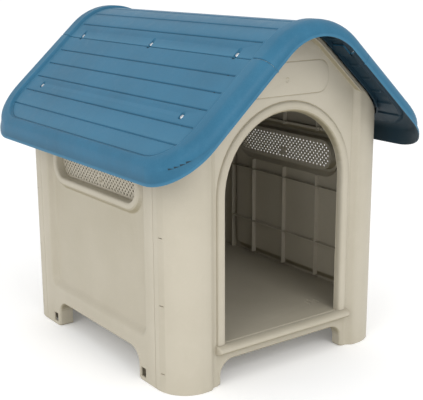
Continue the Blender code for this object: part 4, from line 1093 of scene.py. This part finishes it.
def screw():
    """A pan-head screw, turned from its outline, with a cross cut into its head."""
    dome = ((0, 1), (0.0015, 0.98), (0.0028, 0.87), (0.0038, 0.64), (0.0043, 0.36), (HEAD_RADIUS, 0.12))
    outline = [(r, HEAD_RISE * share) for r, share in dome]
    outline += [(HEAD_RADIUS, 0), (SHANK_RADIUS, 0), (SHANK_RADIUS, 0.002 - SHANK_LENGTH),
                (0, -SHANK_LENGTH)]
    body = bmesh.new()
    rows = [[body.verts.new((r * cos(2 * pi * k / 24), r * sin(2 * pi * k / 24), z)) for k in range(24)]
            if r else [body.verts.new((0, 0, z))] * 24 for r, z in outline]
    for one, two in zip(rows, rows[1:]):
        for k in range(24):
            face = (one[k], two[k], two[(k + 1) % 24], one[(k + 1) % 24])
            body.faces.new(tuple(dict.fromkeys(face)))
    bmesh.ops.recalc_face_normals(body, faces=body.faces)
    piece = hold("screw_pattern", plain_mesh("screw", body))
    for half_u, half_v in ((0.0026, 0.00055), (0.00055, 0.0026)):
        low, high = (-half_u, -half_v, HEAD_RISE - 0.0014), (half_u, half_v, 0.01)
        cross = hold("cross", rounded_block(low, high, radius=0.0002))
        cut = piece.modifiers.new("cross", 'BOOLEAN')
        cut.operation, cut.object = 'DIFFERENCE', cross
        applied(piece)
        bpy.data.objects.remove(cross)
    return piece


drive = bpy.data.node_groups.new("drive screws", 'GeometryNodeTree')
given, result = sockets(drive, [("Screw", 'Object')])
pattern = add_node(drive, 'GeometryNodeObjectInfo', None, {"Object": given["Screw"]}).outputs["Geometry"]
facing = add_node(drive, 'GeometryNodeInputNamedAttribute', {"data_type": 'FLOAT_VECTOR'}, {"Name": "facing"})
squared = add_node(drive, 'FunctionNodeAlignRotationToVector', {"axis": 'Z'}, {"Vector": facing.outputs[0]})
driven_in = add_node(drive, 'GeometryNodeInstanceOnPoints', None,
                     {"Points": given["Shape"], "Instance": pattern, "Rotation": squared.outputs[0]})
close_tree(drive, given, result, driven_in.outputs[0])

heads, normals = [], []
for run, y in SEAM_SCREWS + EAVE_SCREWS:
    lean = min(run / RIDGE_RADIUS, PITCH)
    slope = max(run - RIDGE_RUN, 0)
    for side in (-1, 1):
        normal = Vector((side * sin(lean), 0, cos(lean)))
        skin = Vector((side * (RIDGE_RADIUS * sin(lean) + slope * cos(lean)), side * y,
                       RIDGE_TOP - RIDGE_RADIUS + RIDGE_RADIUS * cos(lean) - slope * sin(lean)))
        heads.append(skin - normal * SUNK)
        normals.append(normal)
places = bpy.data.meshes.new("screw_places")
places.from_pydata(heads, [], [])
places.attributes.new("facing", 'FLOAT_VECTOR', 'POINT').data.foreach_set("vector", np.ravel(normals))
pattern_screw = screw()
driven = grown_by(drive, places, zinc, Screw=pattern_screw)
bpy.data.objects.remove(pattern_screw)
seam_screws = ["seam_screw_%s_%s" % (side, at) for side in ("left", "right")
               for at in ("front", "middle", "rear")]
eave_screws = ["eave_screw_%s_%s" % (side, at) for side in ("left", "right") for at in ("front", "rear")]
finish_piece("roof_screws", [driven], zinc, "zinc", *seam_screws, *eave_screws)
